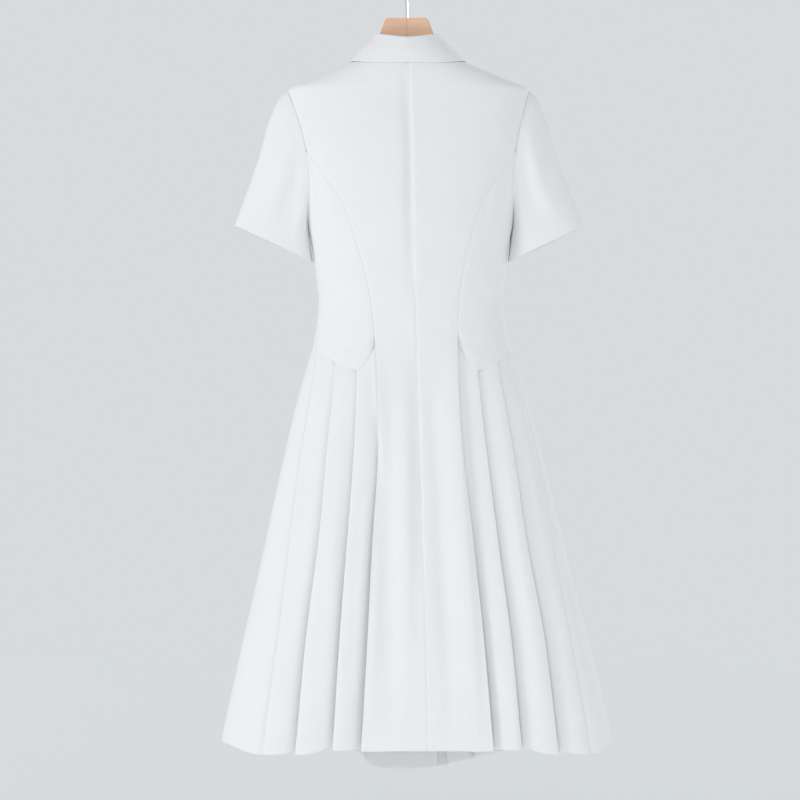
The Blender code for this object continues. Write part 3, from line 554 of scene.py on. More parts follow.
def panel_top(face, share, roll_place):
    """Top edge of a centre panel: round the neck, then along the shoulder seam."""
    start = NECK_SHARE if face == BACK else NECK_CORNER
    at_neck = part_way(share, 0, start)
    if face == BACK:
        neck_below = blend(NECK_BACK, NECK_POINT, at_neck ** 2)
        neck = distance_for(BACK, neck_below,
                            NECK_HALF_WIDTH * np.sin(at_neck * math.pi / 2))
    else:
        neck_below = np.full(share.shape, NECK_POINT)
        neck = blend(roll_place, quarter(FRONT, neck_below), at_neck)
    shoulder_level = blend(NECK_POINT, SHOULDER_TIP, part_way(share, start, 1))
    return (np.where(share < start, neck, quarter(face, shoulder_level)),
            np.where(share < start, neck_below, shoulder_level))


def sunk_under_front(side, distance, below):
    """How far the left front and its lapel sink where the right front covers them."""
    if side == RIGHT:
        return np.zeros(np.broadcast(distance, below).shape)
    cover = np.minimum(-roll_across(below), OVERLAP)
    closed = part_way(below, BREAK_POINT, BREAK_POINT + CLOSES_OVER)
    slope = blend(SLOPE_OPEN, SLOPE_CLOSED, closed)
    near = ease(cover + SUNK_BEYOND + slope - distance, 0, slope)
    return near * blend(UNDER_LAPEL, UNDER_FRONT, closed)


def centre_panel(side, face, columns=44, yoke_rows=44, step=3.2):
    """Points of a full-length panel between the centre line and the princess seam."""
    share = shares(columns)
    part = (np.arange(yoke_rows) / yoke_rows)[:, None]
    start_below = NECK_BACK if face == BACK else NECK_POINT

    def inner(below):
        if face == BACK:
            return np.full(np.shape(below), SEAM_HALF)
        return distance_within(FRONT, below, np.where(below < BREAK_POINT, roll_across(below),
                                                      -OVERLAP))

    def outer(below):
        return outer_edge(face, below) - SEAM_HALF

    top_place, top_below = panel_top(face, share, inner(np.full(share.shape, start_below)))
    top_share = (top_place - top_place[0]) / (top_place[-1] - top_place[0])
    below = blend(top_below, YOKE_END, part)
    first = inner(blend(start_below, YOKE_END, part))
    last = outer(blend(SHOULDER_TIP, YOKE_END, part))
    distance = blend(first, last, blend(top_share, share, part))
    at_shoulder = np.minimum(share / NECK_SHARE, 1) if face == BACK else 1.0
    distance = distance - SHOULDER_SET_BACK * at_shoulder * (1 - part) ** 4
    levels = np.linspace(YOKE_END, LOWEST_LEVEL, int((LOWEST_LEVEL - YOKE_END) / step))[:, None]
    hem = hem_below(side, face, blend(inner(levels), outer(levels), share))
    down = part_way(levels, HEM_EVEN_FROM, LOWEST_LEVEL)
    low = np.where(levels > HEM_EVEN_FROM, blend(HEM_EVEN_FROM, hem, down), levels)
    below = np.vstack((below, low))
    last = np.vstack((last * np.ones(columns), outer(low)))
    distance = np.vstack((distance, blend(inner(low), outer(low), share)))
    hem = hem_below(side, face, distance)
    seamed = (1 - ease(below, *SEAM_FADES)) * blend(YOKE_SHARE, 1.0, ease(below, *DEEPER_FROM))
    inward = hem_line(hem, below) + groove(last - distance) * seamed
    inward += groove(distance) if face == BACK else sunk_under_front(side, distance, below)
    inward -= relief(side, face, distance, below)
    return (cloth_points(side, face, distance, inward, below),
            hem_wall(hem, below, CLOTH_WALL))


FACING_OUT = {BACK: 1, FRONT: -1}
hem_grids = {}
for side, word in SIDES:
    points, wall = centre_panel(side, BACK)
    hem_grids["cloth_back_" + word] = points.shape[1::-1]
    worn(shell("cloth_back_" + word, points, side, wall=wall), "back_" + word)


# Side panels
# Each side of the bodice has a back and a front panel between princess and side seams. They
# run from the armhole to the dropped waist seam, where they lap over the skirt.
WAIST_AT_SIDE, LAYER_AT_WAIST, SLOPE_POWER, DIP_RUN = 626.0, 1.0, 1.3, 7.0
WAIST_WALL, WAIST_EASE, BELOW_YOKE, LEAST_WIDTH = 0.45, 24.0, 3.0, 0.6
PLEAT_NAMES = ("pleat_1", "pleat_2", "pleat_3")


def waist_dip(face, place):
    """How far the side panels sink at the waist seam to lie on the pleats below."""
    level = np.array([WAIST_AT_SIDE])
    edges = [float(distance_for(face, level, seam[name](level))[0]) for name in PLEAT_NAMES]
    edges.append(float(side_seam(face, level)[0]))
    dip = np.zeros(np.shape(place))
    for number, (start, end) in enumerate(zip(edges, edges[1:])):
        slope = 2 * LAYER_AT_WAIST * (1 - part_way(place, start, end)) ** SLOPE_POWER
        if number:
            slope = slope * part_way(place, start, start + DIP_RUN)
        dip += np.where((place >= start) & (place < end), slope, 0)
    return dip


def side_panel(side, face, columns=30, rows=110):
    """Points of a bodice side panel, from the armhole down to the waist seam."""
    share = shares(columns)

    def edges(below):
        inner = outer_edge(face, below) + SEAM_HALF
        outer = np.where(below < UNDERARM, armhole_edge(face, below),
                         side_seam(face, below) - SEAM_HALF)
        return inner, np.maximum(outer, inner + LEAST_WIDTH)

    inner, outer = edges(np.full(columns, WAIST_AT_SIDE))
    waist = seam["waist"](across_at(face, WAIST_AT_SIDE, blend(inner, outer, share)))
    below = blend(YOKE_END + BELOW_YOKE, waist, np.linspace(0, 1, rows)[:, None])
    inner, outer = edges(below)
    distance = blend(inner, outer, share)
    near_waist = 1 - ease(waist - below, 0, WAIST_EASE)
    inward = groove(distance - inner) + groove(outer - distance) * (below > UNDERARM)
    inward += (waist_dip(face, distance) + CLOTH_WALL - WAIST_WALL) * near_waist
    inward -= relief(side, face, distance, below)
    return (cloth_points(side, face, distance, inward, below),
            blend(CLOTH_WALL, WAIST_WALL, near_waist))


for side, word in SIDES:
    for face in (BACK, FRONT):
        points, wall = side_panel(side, face)
        worn(shell("cloth_side_" + face + "_" + word, points, side * FACING_OUT[face],
                   wall=wall), "side_" + face + "_" + word)


# Pleated skirt
# Each quarter of the skirt is laid in three knife pleats that face the side seams. They are
# pressed sharp from the waist seam to the hem, and each visible panel slopes up from under
# one pleat edge to the next.
PLEATS_FROM, PLEATS_TO, PLEAT_STEP = 560.0, 1272.0, 3.0
LAYER_AT_HEM, PLEAT_WALL, BELLY_AT_HEM = 6.6, 0.8, 3.0
UNDERLAP_AT_WAIST, UNDERLAP_AT_HEM, UNDERLAP_CLEAR = 20.0, 34.0, 2.5
UNDER_CENTRE_PANEL, LAYER_STEPS, PANEL_STEPS = 1.1, 7, 17
TUCK_DEPTH, TUCK_RUN, FLAT_BY_SEAM, LAYERS_RISE = 1.05, 16.0, 26.0, 0.25
TUCK_ROWS = np.array((-5.0, -3.0, -1.0, 1.0, 3.0, 5.5, 8.5, 12.0))[:, None]

pleat_levels = np.arange(PLEATS_FROM, PLEATS_TO, PLEAT_STEP)
pleat_edges = {face: [distance_for(face, pleat_levels, seam[name](pleat_levels))
                      for name in PLEAT_NAMES] for face in (BACK, FRONT)}
pleat_seams = {face: side_seam(face, pleat_levels) - SEAM_HALF for face in (BACK, FRONT)}


def pleat_path(face, below):
    """Places and depths across a pleated quarter of the skirt, at each of some levels."""
    down = part_way(below, PLEATS_FROM, HEM_LEVEL)
    layer = blend(LAYER_AT_WAIST, LAYER_AT_HEM, down)
    edges = [np.interp(below, pleat_levels, row)
             for row in pleat_edges[face] + [pleat_seams[face]]]
    path = []

    def arc(centre, middle_depth, way):
        for angle in np.linspace(-math.pi / 2, math.pi / 2, LAYER_STEPS):
            path.append((centre + way * layer / 2 * math.cos(angle),
                         middle_depth + layer / 2 * math.sin(angle)))

    def line(start, end):
        for share in np.linspace(0, 1, LAYER_STEPS + 2)[1:-1]:
            path.append((blend(start[0], end[0], share), blend(start[1], end[1], share)))

    for number, edge in enumerate(edges[:3]):
        underlap = blend(UNDERLAP_AT_WAIST, UNDERLAP_AT_HEM, down)
        start = edges[number - 1] if number else 0.0
        if number == 0 and face == FRONT:
            underlap = np.minimum(underlap, edge - OVERLAP - layer / 2 - UNDERLAP_CLEAR)

        def slope(place):
            if number == 0:
                return np.zeros(np.shape(place))
            return 2 * layer * (1 - part_way(place, start, edge)) ** SLOPE_POWER

        far = edge - underlap
        if number == 0:
            path += [(edge - 1.0, UNDER_CENTRE_PANEL + 0 * edge),
                     (edge - 2.2, blend(UNDER_CENTRE_PANEL, layer, 0.7)), (edge - 3.6, layer)]
        else:
            arc(edge - layer / 2, slope(edge - layer / 2) + layer / 2, 1)
        line(path[-1], (far, slope(far) + layer))
        arc(far, slope(far) + layer * 1.5, -1)
        line(path[-1], (edge, layer * 2))
        path.append((edge, layer * 2))
        for share in np.linspace(0, 1, PANEL_STEPS + 2)[1:-1]:
            belly = BELLY_AT_HEM * down * math.sin(math.pi * share)
            path.append((blend(edge, edges[number + 1], share),
                         layer * 2 * (1 - share) ** SLOPE_POWER - belly))
        if number < 2:
            path.pop()
    path.append((edges[3], 0 * layer))
    return path


def pleated_panel(side, face, rows=150):
    """Points of a pleated quarter of the skirt, from behind the waist seam to the hem."""
    at_waist, _ = np.array(pleat_path(face, np.array([WAIST_AT_SIDE])))[..., 0].T
    spots, layers = np.array(pleat_path(face, np.array([HEM_LEVEL])))[..., 0].T
    tops = seam["waist"](across_at(face, WAIST_AT_SIDE, at_waist))
    from_back = spots if face == BACK else ring_total(HEM_LEVEL) - spots
    across = across_at(BACK, HEM_LEVEL, from_back)
    hems = np.where(from_back <= quarter(BACK, HEM_LEVEL), hem_below(side, BACK, across),
                    hem_below(side, FRONT, across)) - LAYERS_RISE * layers
    below = np.vstack((tops + TUCK_ROWS,
                       blend(tops + TUCK_RUN, hems, np.linspace(0, 1, rows)[:, None])))
    places, depths = np.empty((2, *below.shape))
    for column in range(below.shape[1]):
        places[:, column], depths[:, column] = pleat_path(face, below[:, column])[column]
    depths[:len(TUCK_ROWS)] += TUCK_DEPTH * (1 - ease(TUCK_ROWS, 1.0, TUCK_RUN))
    if face == FRONT:
        depths += sunk_under_front(side, places, below)
    from_seam = places[:, -1:] - places
    depths -= relief(side, face, places, below) * ease(from_seam, 0, FLAT_BY_SEAM)
    depths += groove(from_seam) + hem_line(hems, below)
    return cloth_points(side, face, places, depths, below), hem_wall(hems, below, PLEAT_WALL)


for side, word in SIDES:
    for face in (BACK, FRONT):
        points, wall = pleated_panel(side, face)
        hem_grids["cloth_pleats_" + face + "_" + word] = points.shape[1::-1]
        worn(shell("cloth_pleats_" + face + "_" + word, points, side * FACING_OUT[face],
                   wall=wall), "skirt_" + face + "_" + word)


# Front panels
# The two fronts run from the shoulders to the hem and cross over each other, the wearer's
# right front on top. Above the break point their edges are folded back as lapels.
for side, word in SIDES:
    points, wall = centre_panel(side, FRONT)
    hem_grids["cloth_front_" + word] = points.shape[1::-1]
    worn(shell("cloth_front_" + word, points, -side, wall=wall), "front_" + word)


# Sleeves
# Each short sleeve is one piece of cloth sewn into the armhole, eased over the shoulder and
# falling straight to a wide plain cuff that slants down towards the body. Its folds are placed
# by degrees round the sleeve from the shoulder, over the back first, and mm down it.
CUFF_OUTER, CUFF_INNER, CUFF_HALF_DEPTH = (273.0, 399.5), (152.5, 457.0), 29.0
SLEEVE_BESIDE, SLEEVE_OUT, SLEEVE_LENGTH, ABOVE_UNDERARM = 0.35, -0.2, 230.0, 1.5
CAP_SWELL = smooth_curve((0.0, 0.035, 0.10, 0.22, 0.47, 0.66, 1.0),
                         (0.0, 6.0, 9.5, 9.5, 4.0, 1.8, 0.0))
SLEEVE_FOLDS = [
    ([(48, 6), (58, 60), (62, 120), (60, 200)], 3.0, 10.0, 14.0),
    ([(78, 20), (84, 90), (80, 170)], -2.4, 12.0, 9.0),
    ([(110, 10), (114, 90), (118, 190)], 2.0, 12.0, 12.0),
    ([(306, 10), (300, 80), (298, 180)], 2.6, 13.0, 10.0),
    ([(272, 20), (270, 110), (264, 200)], -2.0, 11.0, 11.0),
    ([(146, 20), (150, 110), (152, 190)], -1.6, 10.0, 10.0),
]


def sleeve(side, columns=96, rows=110):
    turn = np.arange(columns) / columns
    angle = turn * 2 * math.pi
    level = blend(SHOULDER_TIP, UNDERARM - ABOVE_UNDERARM,
                  np.sin((1 - np.abs(1 - 2 * turn)) * math.pi / 2) ** 1.3)
    armhole = np.empty((columns, 3))
    for face, here in ((BACK, turn <= 0.5), (FRONT, turn > 0.5)):
        armhole[here] = cloth_points(side, face, armhole_edge(face, level[here]), SLEEVE_OUT,
                                     level[here])
    armhole[:, 0] += side * SLEEVE_BESIDE * MM
    middle, reach = zip(*(((a + b) / 2, (a - b) / 2) for a, b in zip(CUFF_OUTER, CUFF_INNER)))
    flat = np.copysign(np.abs(np.sin(angle)) ** 0.75, np.sin(angle))
    level = middle[1] + reach[1] * np.cos(angle)
    cuff = np.stack((side * (middle[0] + reach[0] * np.cos(angle)) + LEAN * level,
                     CUFF_HALF_DEPTH * flat, -level), -1) * MM
    along = (np.linspace(0, 1, rows) ** 1.15)[:, None]
    points = blend(armhole, cuff, along[..., None])
    swell = CAP_SWELL(along) * (0.5 + 0.5 * np.cos(angle)) ** 1.5
    points[..., 0] += side * swell * MM
    return points, folded(SLEEVE_FOLDS, np.degrees(angle), along * SLEEVE_LENGTH)


for side, word in SIDES:
    points, height = sleeve(side)
    worn(shell("cloth_sleeve_" + word, points, -side, height, closed=True), "sleeve_" + word)


# Collar
# The turned-down collar stands up round the back of the neck, rolls over and lies on the
# shoulders down to the lapels. Its ends are square. Eight stations along each half, from the
# centre back to the end, give in mm where it is sewn on, where it rolls over and its edge.
COLLAR = {
    "base_across": (0.0, 26.0, 48.0, 62.0, 69.8, 67.5, 61.0, 53.5),
    "base_below": (140.6, 140.3, 139.2, 137.7, 136.9, 140.0, 151.0, 166.0),
    "roll_across": (0.0, 19.0, 35.0, 45.0, 49.0, 53.0, 58.0, 56.0),
    "roll_out": (45.0, 42.0, 33.0, 19.0, 2.0, -19.0, -41.0, -50.5),
    "roll_below": (111.0, 109.0, 106.0, 103.5, 103.0, 112.0, 134.0, 156.0),
    "edge_across": (0.0, 34.0, 62.0, 80.0, 89.0, 97.0, 103.0, 102.0),
    "edge_below": (151.0, 151.0, 149.5, 147.0, 146.5, 156.0, 172.0, 189.0),
}
STATIONS, SIDE_STATION, COLLAR_WALL = range(8), 4, 1.8
COLLAR_CLEAR = COLLAR_WALL / 2 + CLOTH_WALL / 2 + 0.3


def surface_at(side, face, across, below, out):
    """Points in mm at a distance out from the dress, square to its surface."""
    across, below = np.broadcast_arrays(np.asarray(across, float), below)
    below = np.maximum(below, np.interp(np.abs(across) + 1.0, SECTION["half_width"][:4],
                                        SECTION["below"][:4]))
    distance = distance_for(face, below, across)
    point, beside, lower = (cloth_points(side, face, distance + a, 0.0, below + b) / MM
                            for a, b in ((0, 0), (1.0, 0), (0, 1.0)))
    normal = unit(np.cross(beside - point, lower - point))
    away = point - np.stack((LEAN * below, 0 * below, point[..., 2] - 40.0), -1)
    normal = np.where((normal * away).sum(-1, keepdims=True) < 0, -normal, normal)
    return point + normal * np.asarray(out)[..., None]


def collar_half(side, stations):
    """Cross-sections from the centre back to one end: up the stand and down the fall.

    The numbers in over and in the last lines are mm outward and up, which round the roll and
    belly the fall."""
    values = {name: smooth_curve(STATIONS, row)(stations) for name, row in COLLAR.items()}
    on_back = stations <= SIDE_STATION
    base, edge = np.empty((2, len(stations), 3))
    for face, here in ((BACK, on_back), (FRONT, ~on_back)):
        across, below = values["base_across"][here], values["base_below"][here]
        if face == BACK:
            level = np.full(here.sum(), NECK_POINT)
            base[here] = cloth_points(side, face, distance_for(face, level, across), 0.0,
                                      level) / MM
        else:
            base[here] = surface_at(side, face, across, below, 0.0)
        base[here, 2] = -below
        edge[here] = surface_at(side, face, values["edge_across"][here],
                                values["edge_below"][here], COLLAR_CLEAR)
    roll = np.stack((side * values["roll_across"] + LEAN * values["roll_below"],
                     values["roll_out"], -values["roll_below"]), -1)
    outward = edge - base
    outward[:, 2] = 0
    outward = unit(outward)
    up = np.array((0.0, 0.0, 1.0))
    over = roll + outward * 4.2 - up * 4.2
    return np.stack((base, blend(base, roll, 0.5), roll - up * 2.5 - outward * 1.2, roll,
                     roll + outward * 2.4 - up * 0.8, over, blend(over, edge, 0.25) + outward,
                     blend(over, edge, 0.5) + outward * 1.6, blend(over, edge, 0.78) + outward,
                     edge), 1)


def resampled(rows, count):
    """Each row of points drawn again as a smooth line of evenly spaced points."""
    steps = np.arange(rows.shape[1])
    fine = np.linspace(0, steps[-1], count)
    drawn = []
    for row in rows:
        line = [smooth_curve(steps, values)(fine) for values in row.T]
        run = np.append(0, np.cumsum(np.linalg.norm(np.diff(line), axis=0)))
        even = np.linspace(0, run[-1], count)
        drawn.append(np.stack([np.interp(even, run, values) for values in line], -1))
    return np.array(drawn)


left, right = (collar_half(side, np.linspace(0, 7, 71)) for side in (LEFT, RIGHT))
rows = np.concatenate((right[:0:-1], (left[:1] + right[:1]) / 2, left[1:]))
worn(shell("cloth_collar", resampled(rows, 56) * MM, -1, wall=COLLAR_WALL), "collar")


# Lapels
# Each notched lapel is the top of the front folded back along its roll line, pointed at the
# notch and running down to the top button.
LAPEL_ROLL = (172.0, 196.0, 226.0, 260.0, 296.0, 332.0, 362.0, 383.0)
LAPEL_EDGE = ((113.0, 112.0, 106.0, 95.0, 74.0, 42.0, 3.0, -36.0),
              (209.0, 226.0, 250.0, 280.0, 312.0, 343.0, 369.0, 386.0))
LAPEL_LIFT, ROLL_BEYOND, ROLL_HEIGHT, ROLL_AT, ROLL_WIDTH = 2.9, 1.2, 2.2, 0.08, 0.12


def lapel(side, columns=40, rows=90):
    steps = np.linspace(0, 7, rows)
    roll_level, edge_across, edge_below = (
        smooth_curve(STATIONS, row)(steps)[:, None] for row in (LAPEL_ROLL, *LAPEL_EDGE))
    share = shares(columns)
    below = blend(roll_level, edge_below, share)
    across = blend(roll_across(roll_level) - ROLL_BEYOND, edge_across, share)
    sunk = sunk_under_front(side, distance_for(FRONT, below, across), below)
    roll = np.exp(-((share - ROLL_AT) / ROLL_WIDTH) ** 2) * np.maximum(1 - sunk / 2, 0)
    return surface_at(side, FRONT, across, below, LAPEL_LIFT + ROLL_HEIGHT * roll - sunk) * MM


for side, word in SIDES:
    worn(shell("cloth_lapel_" + word, lapel(side), -side), "lapel_" + word)


# Buttons
# Eight round four-hole buttons of polished white resin stand in two columns on the front.
# Each has a raised rim round a dished face and is sewn on with two bars of white thread.
BUTTON_RADIUS, BUTTON_THICK, BUTTON_ACROSS = 10.0, 3.4, 35.0
BUTTON_TOP, BUTTON_STEP, BUTTON_ROWS, BUTTON_OUT = 408.0, 64.0, 4, 0.35
HOLE_OUT, HOLE_RADIUS, THREAD_RADIUS, THREAD_APART = 2.1, 0.85, 0.42, 0.4


def mesh_object(name, skin, material, angle=None):
    bmesh.ops.recalc_face_normals(skin, faces=skin.faces[:])
    mesh = bpy.data.meshes.new(name)
    skin.to_mesh(mesh)
    skin.free()
    smoothed(mesh)
    if angle:
        mesh.set_sharp_from_angle(angle=math.radians(angle))
    mesh.materials.append(material)
    return placed(name, mesh)


def turned(skin, profile, sides):
    """A solid turned round Z from a profile of (radius, height) that starts and ends at zero."""
    rings = [[skin.verts.new((radius * math.cos(2 * math.pi * i / sides),
                              radius * math.sin(2 * math.pi * i / sides), height))
              for i in range(sides)] for radius, height in profile[1:-1]]
    ends = [skin.verts.new((0, 0, profile[0][1])), skin.verts.new((0, 0, profile[-1][1]))]
    for i in range(sides):
        j = (i + 1) % sides
        skin.faces.new((ends[0], rings[0][j], rings[0][i]))
        skin.faces.new((ends[1], rings[-1][i], rings[-1][j]))
        for lower, upper in zip(rings, rings[1:]):
            skin.faces.new((lower[i], lower[j], upper[j], upper[i]))


def tube(skin, points, radius, sides=8):
    """A round tube along points."""
    points = [Vector(point) for point in points]
    ends = [points[0], *points, points[-1]]
    rings = []
    guide = Vector((0.31, 0.17, 0.93))
    for before, point, after in zip(ends, points, ends[2:]):
        run = (after - before).normalized()
        beside = run.cross(guide).normalized()
        guide = beside.cross(run)
        rings.append([skin.verts.new(point + radius * (
            math.cos(2 * math.pi * k / sides) * beside
            + math.sin(2 * math.pi * k / sides) * guide)) for k in range(sides)])
    for first, second in zip(rings, rings[1:]):
        for k in range(sides):
            j = (k + 1) % sides
            skin.faces.new((first[k], first[j], second[j], second[k]))
    skin.faces.new(rings[0][::-1])
    skin.faces.new(rings[-1])


def resin():
    graph = Graph("white_resin", (0.83, 0.83, 0.82), 0.28, coat=0.4)
    cloudy = graph.noise(graph.add("ShaderNodeTexCoord", output=3), 260.0)
    graph.colour(cloudy, (0.80, 0.80, 0.785), (0.87, 0.87, 0.865))
    return graph.material


def button_blank():
    """One button standing on Z = 0, in mm, with its four holes cut through."""
    profile = [(0, 0), (0.80, 0), (0.90, 0.04), (0.97, 0.16), (1.0, 0.36), (0.995, 0.56),
               (0.97, 0.78), (0.92, 0.93), (0.86, 1.0), (0.80, 0.98), (0.74, 0.90),
               (0.68, 0.80), (0.60, 0.74), (0.5, 0.71), (0, 0.68)]
    skin = bmesh.new()
    turned(skin, [(r * BUTTON_RADIUS, h * BUTTON_THICK) for r, h in profile], 64)
    blank = mesh_object("button_blank", skin, button_resin, 50)
    skin = bmesh.new()
    for turn in range(4):
        angle = math.pi / 4 + turn * math.pi / 2
        before = set(skin.verts)
        turned(skin, [(0, -1), (HOLE_RADIUS, -1), (HOLE_RADIUS, 4), (0, 4)], 20)
        fresh = [vertex for vertex in skin.verts if vertex not in before]
        bmesh.ops.translate(skin, verts=fresh, vec=(HOLE_OUT * math.cos(angle),
                                                    HOLE_OUT * math.sin(angle), 0))
    drill = mesh_object("button_drill", skin, button_resin)
    cut = blank.modifiers.new("holes", "BOOLEAN")
    cut.operation, cut.object, cut.solver = "DIFFERENCE", drill, "EXACT"
    mesh = evaluated_mesh(blank)
    for spare in (blank, drill):
        bpy.data.objects.remove(spare)
    return mesh


def sew_on(skin):
    """Two bars of two threads from hole to hole over the face of a button on Z = 0."""
    reach = HOLE_OUT * math.cos(math.pi / 4)
    for beside in (-reach, reach):
        for shift in (-THREAD_APART, THREAD_APART):
            tube(skin, [(beside + shift, reach * math.cos(turn) * (1.0 + 0.05 * shift),
                         max(0.25 + 2.75 * math.sin(turn) ** 0.5, 0.3))
                        for turn in np.linspace(0, math.pi, 13)], THREAD_RADIUS)


def skin_tree(piece):
    skin = bmesh.new()
    skin.from_mesh(piece.data)
    tree = BVHTree.FromBMesh(skin)
    skin.free()
    return tree


def seat(tree, across, below):
    """Where a place on the front meets the cloth, and the way that the cloth faces."""
    aim = Vector((across + LEAN * below, -1000.0, -below)) * MM
    spot, normal = tree.ray_cast(aim, Vector((0.0, 1.0, 0.0)))[:2]
    return spot, normal if normal.y < 0 else -normal


button_resin = resin()
blank = button_blank()
front_cloth = skin_tree(bpy.data.objects["cloth_front_right"])
threads = bmesh.new()
number = 0
for row in range(BUTTON_ROWS):
    for across in (BUTTON_ACROSS, -BUTTON_ACROSS):
        number += 1
        spot, normal = seat(front_cloth, across, BUTTON_TOP + BUTTON_STEP * row)
        turn = normal.to_track_quat("Z", "Y").to_matrix()
        place = spot / MM + normal * BUTTON_OUT
        mesh = blank.copy()
        for vertex in mesh.vertices:
            vertex.co = (turn @ vertex.co + place) * MM
        button = placed("resin_button_" + str(number), mesh)
        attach(button, "root")
        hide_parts("button_" + str(number))
        start = len(threads.verts)
        sew_on(threads)
        threads.verts.ensure_lookup_table()
        for vertex in threads.verts[start:]:
            vertex.co = (turn @ vertex.co + place) * MM
sewing = mesh_object("button_threads", threads, cloth)
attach(sewing, "root")


# Stitching
# The turned hem is caught down with blind stitches that prick through every few millimetres.
# Four buttonholes are worked across the edge of the right front, with close stitches all
# round, and their buttons are done up in them. Their slits are not cut: a thin dark grey strip
# laid just over the cloth paints the shade in each opening.
HEM_STITCH = {"Spacing": 0.0085, "Length": 0.0019, "Thickness": 0.0005, "Turn": 0.0}
HOLE_STITCH = {"Spacing": 0.00062, "Length": 0.0017, "Thickness": 0.00055, "Turn": math.pi / 2}
# Two of these place the dark strip of painted shade in each buttonhole: how far it stands over the
# cloth, and half its height.
STITCH_ROW_UP, STITCH_PROUD, SHADE_STRIP_PROUD = 9, 0.00012, 0.00006
BUTTONHOLE_FROM, BUTTONHOLE_TO, BUTTONHOLE_HALF, SHADE_STRIP_HALF = 39.0, 13.0, 0.95, 0.4


def stitch_nodes():
    """Stitches along a line of mesh edges, laid flat on the cloth by its "out" direction."""
    tree = bpy.data.node_groups.new("stitches_along_a_line", "GeometryNodeTree")
    for name, kind in (("Line", "Geometry"), ("Spacing", "Float"), ("Length", "Float"),
                       ("Thickness", "Float"), ("Turn", "Float"), ("Thread", "Material")):
        tree.interface.new_socket(name=name, in_out="INPUT", socket_type="NodeSocket" + kind)
    tree.interface.new_socket(name="Stitches", in_out="OUTPUT",
                              socket_type="NodeSocketGeometry")

    def add(kind, links=(), **settings):
        node = tree.nodes.new(kind)
        for name, value in settings.items():
            setattr(node, name, value)
        for name, source in dict(links).items():
            if hasattr(source, "links"):
                tree.links.new(source, node.inputs[name])
            else:
                node.inputs[name].default_value = source
        return node.outputs

    given = add("NodeGroupInput")
    line = add("GeometryNodeMeshToCurve", {"Mesh": given["Line"]})
    points = add("GeometryNodeCurveToPoints", {"Curve": line["Curve"],
                                               "Length": given["Spacing"]}, mode="LENGTH")
    out = add("GeometryNodeInputNamedAttribute", {"Name": "out"}, data_type="FLOAT_VECTOR")
    flat = add("FunctionNodeAlignRotationToVector", {"Vector": out["Attribute"]}, axis="Z")
    along = add("FunctionNodeAlignRotationToVector",
                {"Rotation": flat["Rotation"], "Vector": points["Tangent"]}, axis="X",
                pivot_axis="Z")
    turn = add("ShaderNodeCombineXYZ", {"Z": given["Turn"]})
    laid = add("FunctionNodeRotateRotation", {"Rotation": along["Rotation"],
                                              "Rotate By": turn["Vector"]},
               rotation_space="LOCAL")
    bead = add("GeometryNodeMeshUVSphere", {"Segments": 8, "Rings": 6, "Radius": 0.5})
    size = add("ShaderNodeCombineXYZ", {"X": given["Length"], "Y": given["Thickness"],
                                        "Z": given["Thickness"]})
    placed = add("GeometryNodeInstanceOnPoints",
                 {"Points": points["Points"], "Instance": bead["Mesh"],
                  "Rotation": laid["Rotation"], "Scale": size["Vector"]})
    real = add("GeometryNodeRealizeInstances", {"Geometry": placed["Instances"]})
    finished = add("GeometryNodeSetMaterial", {"Geometry": real["Geometry"],
                                               "Material": given["Thread"]})
    add("NodeGroupOutput", {"Stitches": finished["Geometry"]})
    return tree


def stitches(name, lines, kind):
    """One piece of stitches along several lines, each a list of (places, out directions)."""
    mesh = bpy.data.meshes.new(name + "_lines")
    places, edges, outs = [], [], []
    for line, out in lines:
        start = len(places)
        places += [tuple(place) for place in line]
        outs += [tuple(way) for way in out]
        edges += [(start + i, start + i + 1) for i in range(len(line) - 1)]
    mesh.from_pydata(places, edges, [])
    mesh.attributes.new("out", "FLOAT_VECTOR", "POINT").data.foreach_set(
        "vector", np.array(outs).ravel())
    carrier = placed(name + "_lines", mesh)
    modifier = carrier.modifiers.new("stitches", "NODES")
    modifier.node_group = stitch_tree
    for socket, value in dict(kind, Thread=cloth).items():
        modifier[stitch_tree.interface.items_tree[socket].identifier] = value
    made = evaluated_mesh(carrier)
    bpy.data.objects.remove(carrier)
    smoothed(made)
    sewn = placed(name, made)
    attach(sewn, "root")


def hem_stitch_line(piece, columns, rows):
    """The line where a panel's turned hem is caught down, on the outside of the cloth."""
    spots = np.empty(3 * len(piece.data.vertices))
    piece.data.vertices.foreach_get("co", spots)
    outer, inner = spots.reshape(-1, 3)[:2 * rows * columns].reshape(2, rows, columns, 3)
    row = rows - STITCH_ROW_UP
    return outer[row], unit(outer[row] - inner[row])


stitch_tree = stitch_nodes()
hem_lines = [hem_stitch_line(bpy.data.objects[name], *grid) for name, grid in hem_grids.items()]
stitches("hem_stitches", hem_lines, HEM_STITCH)

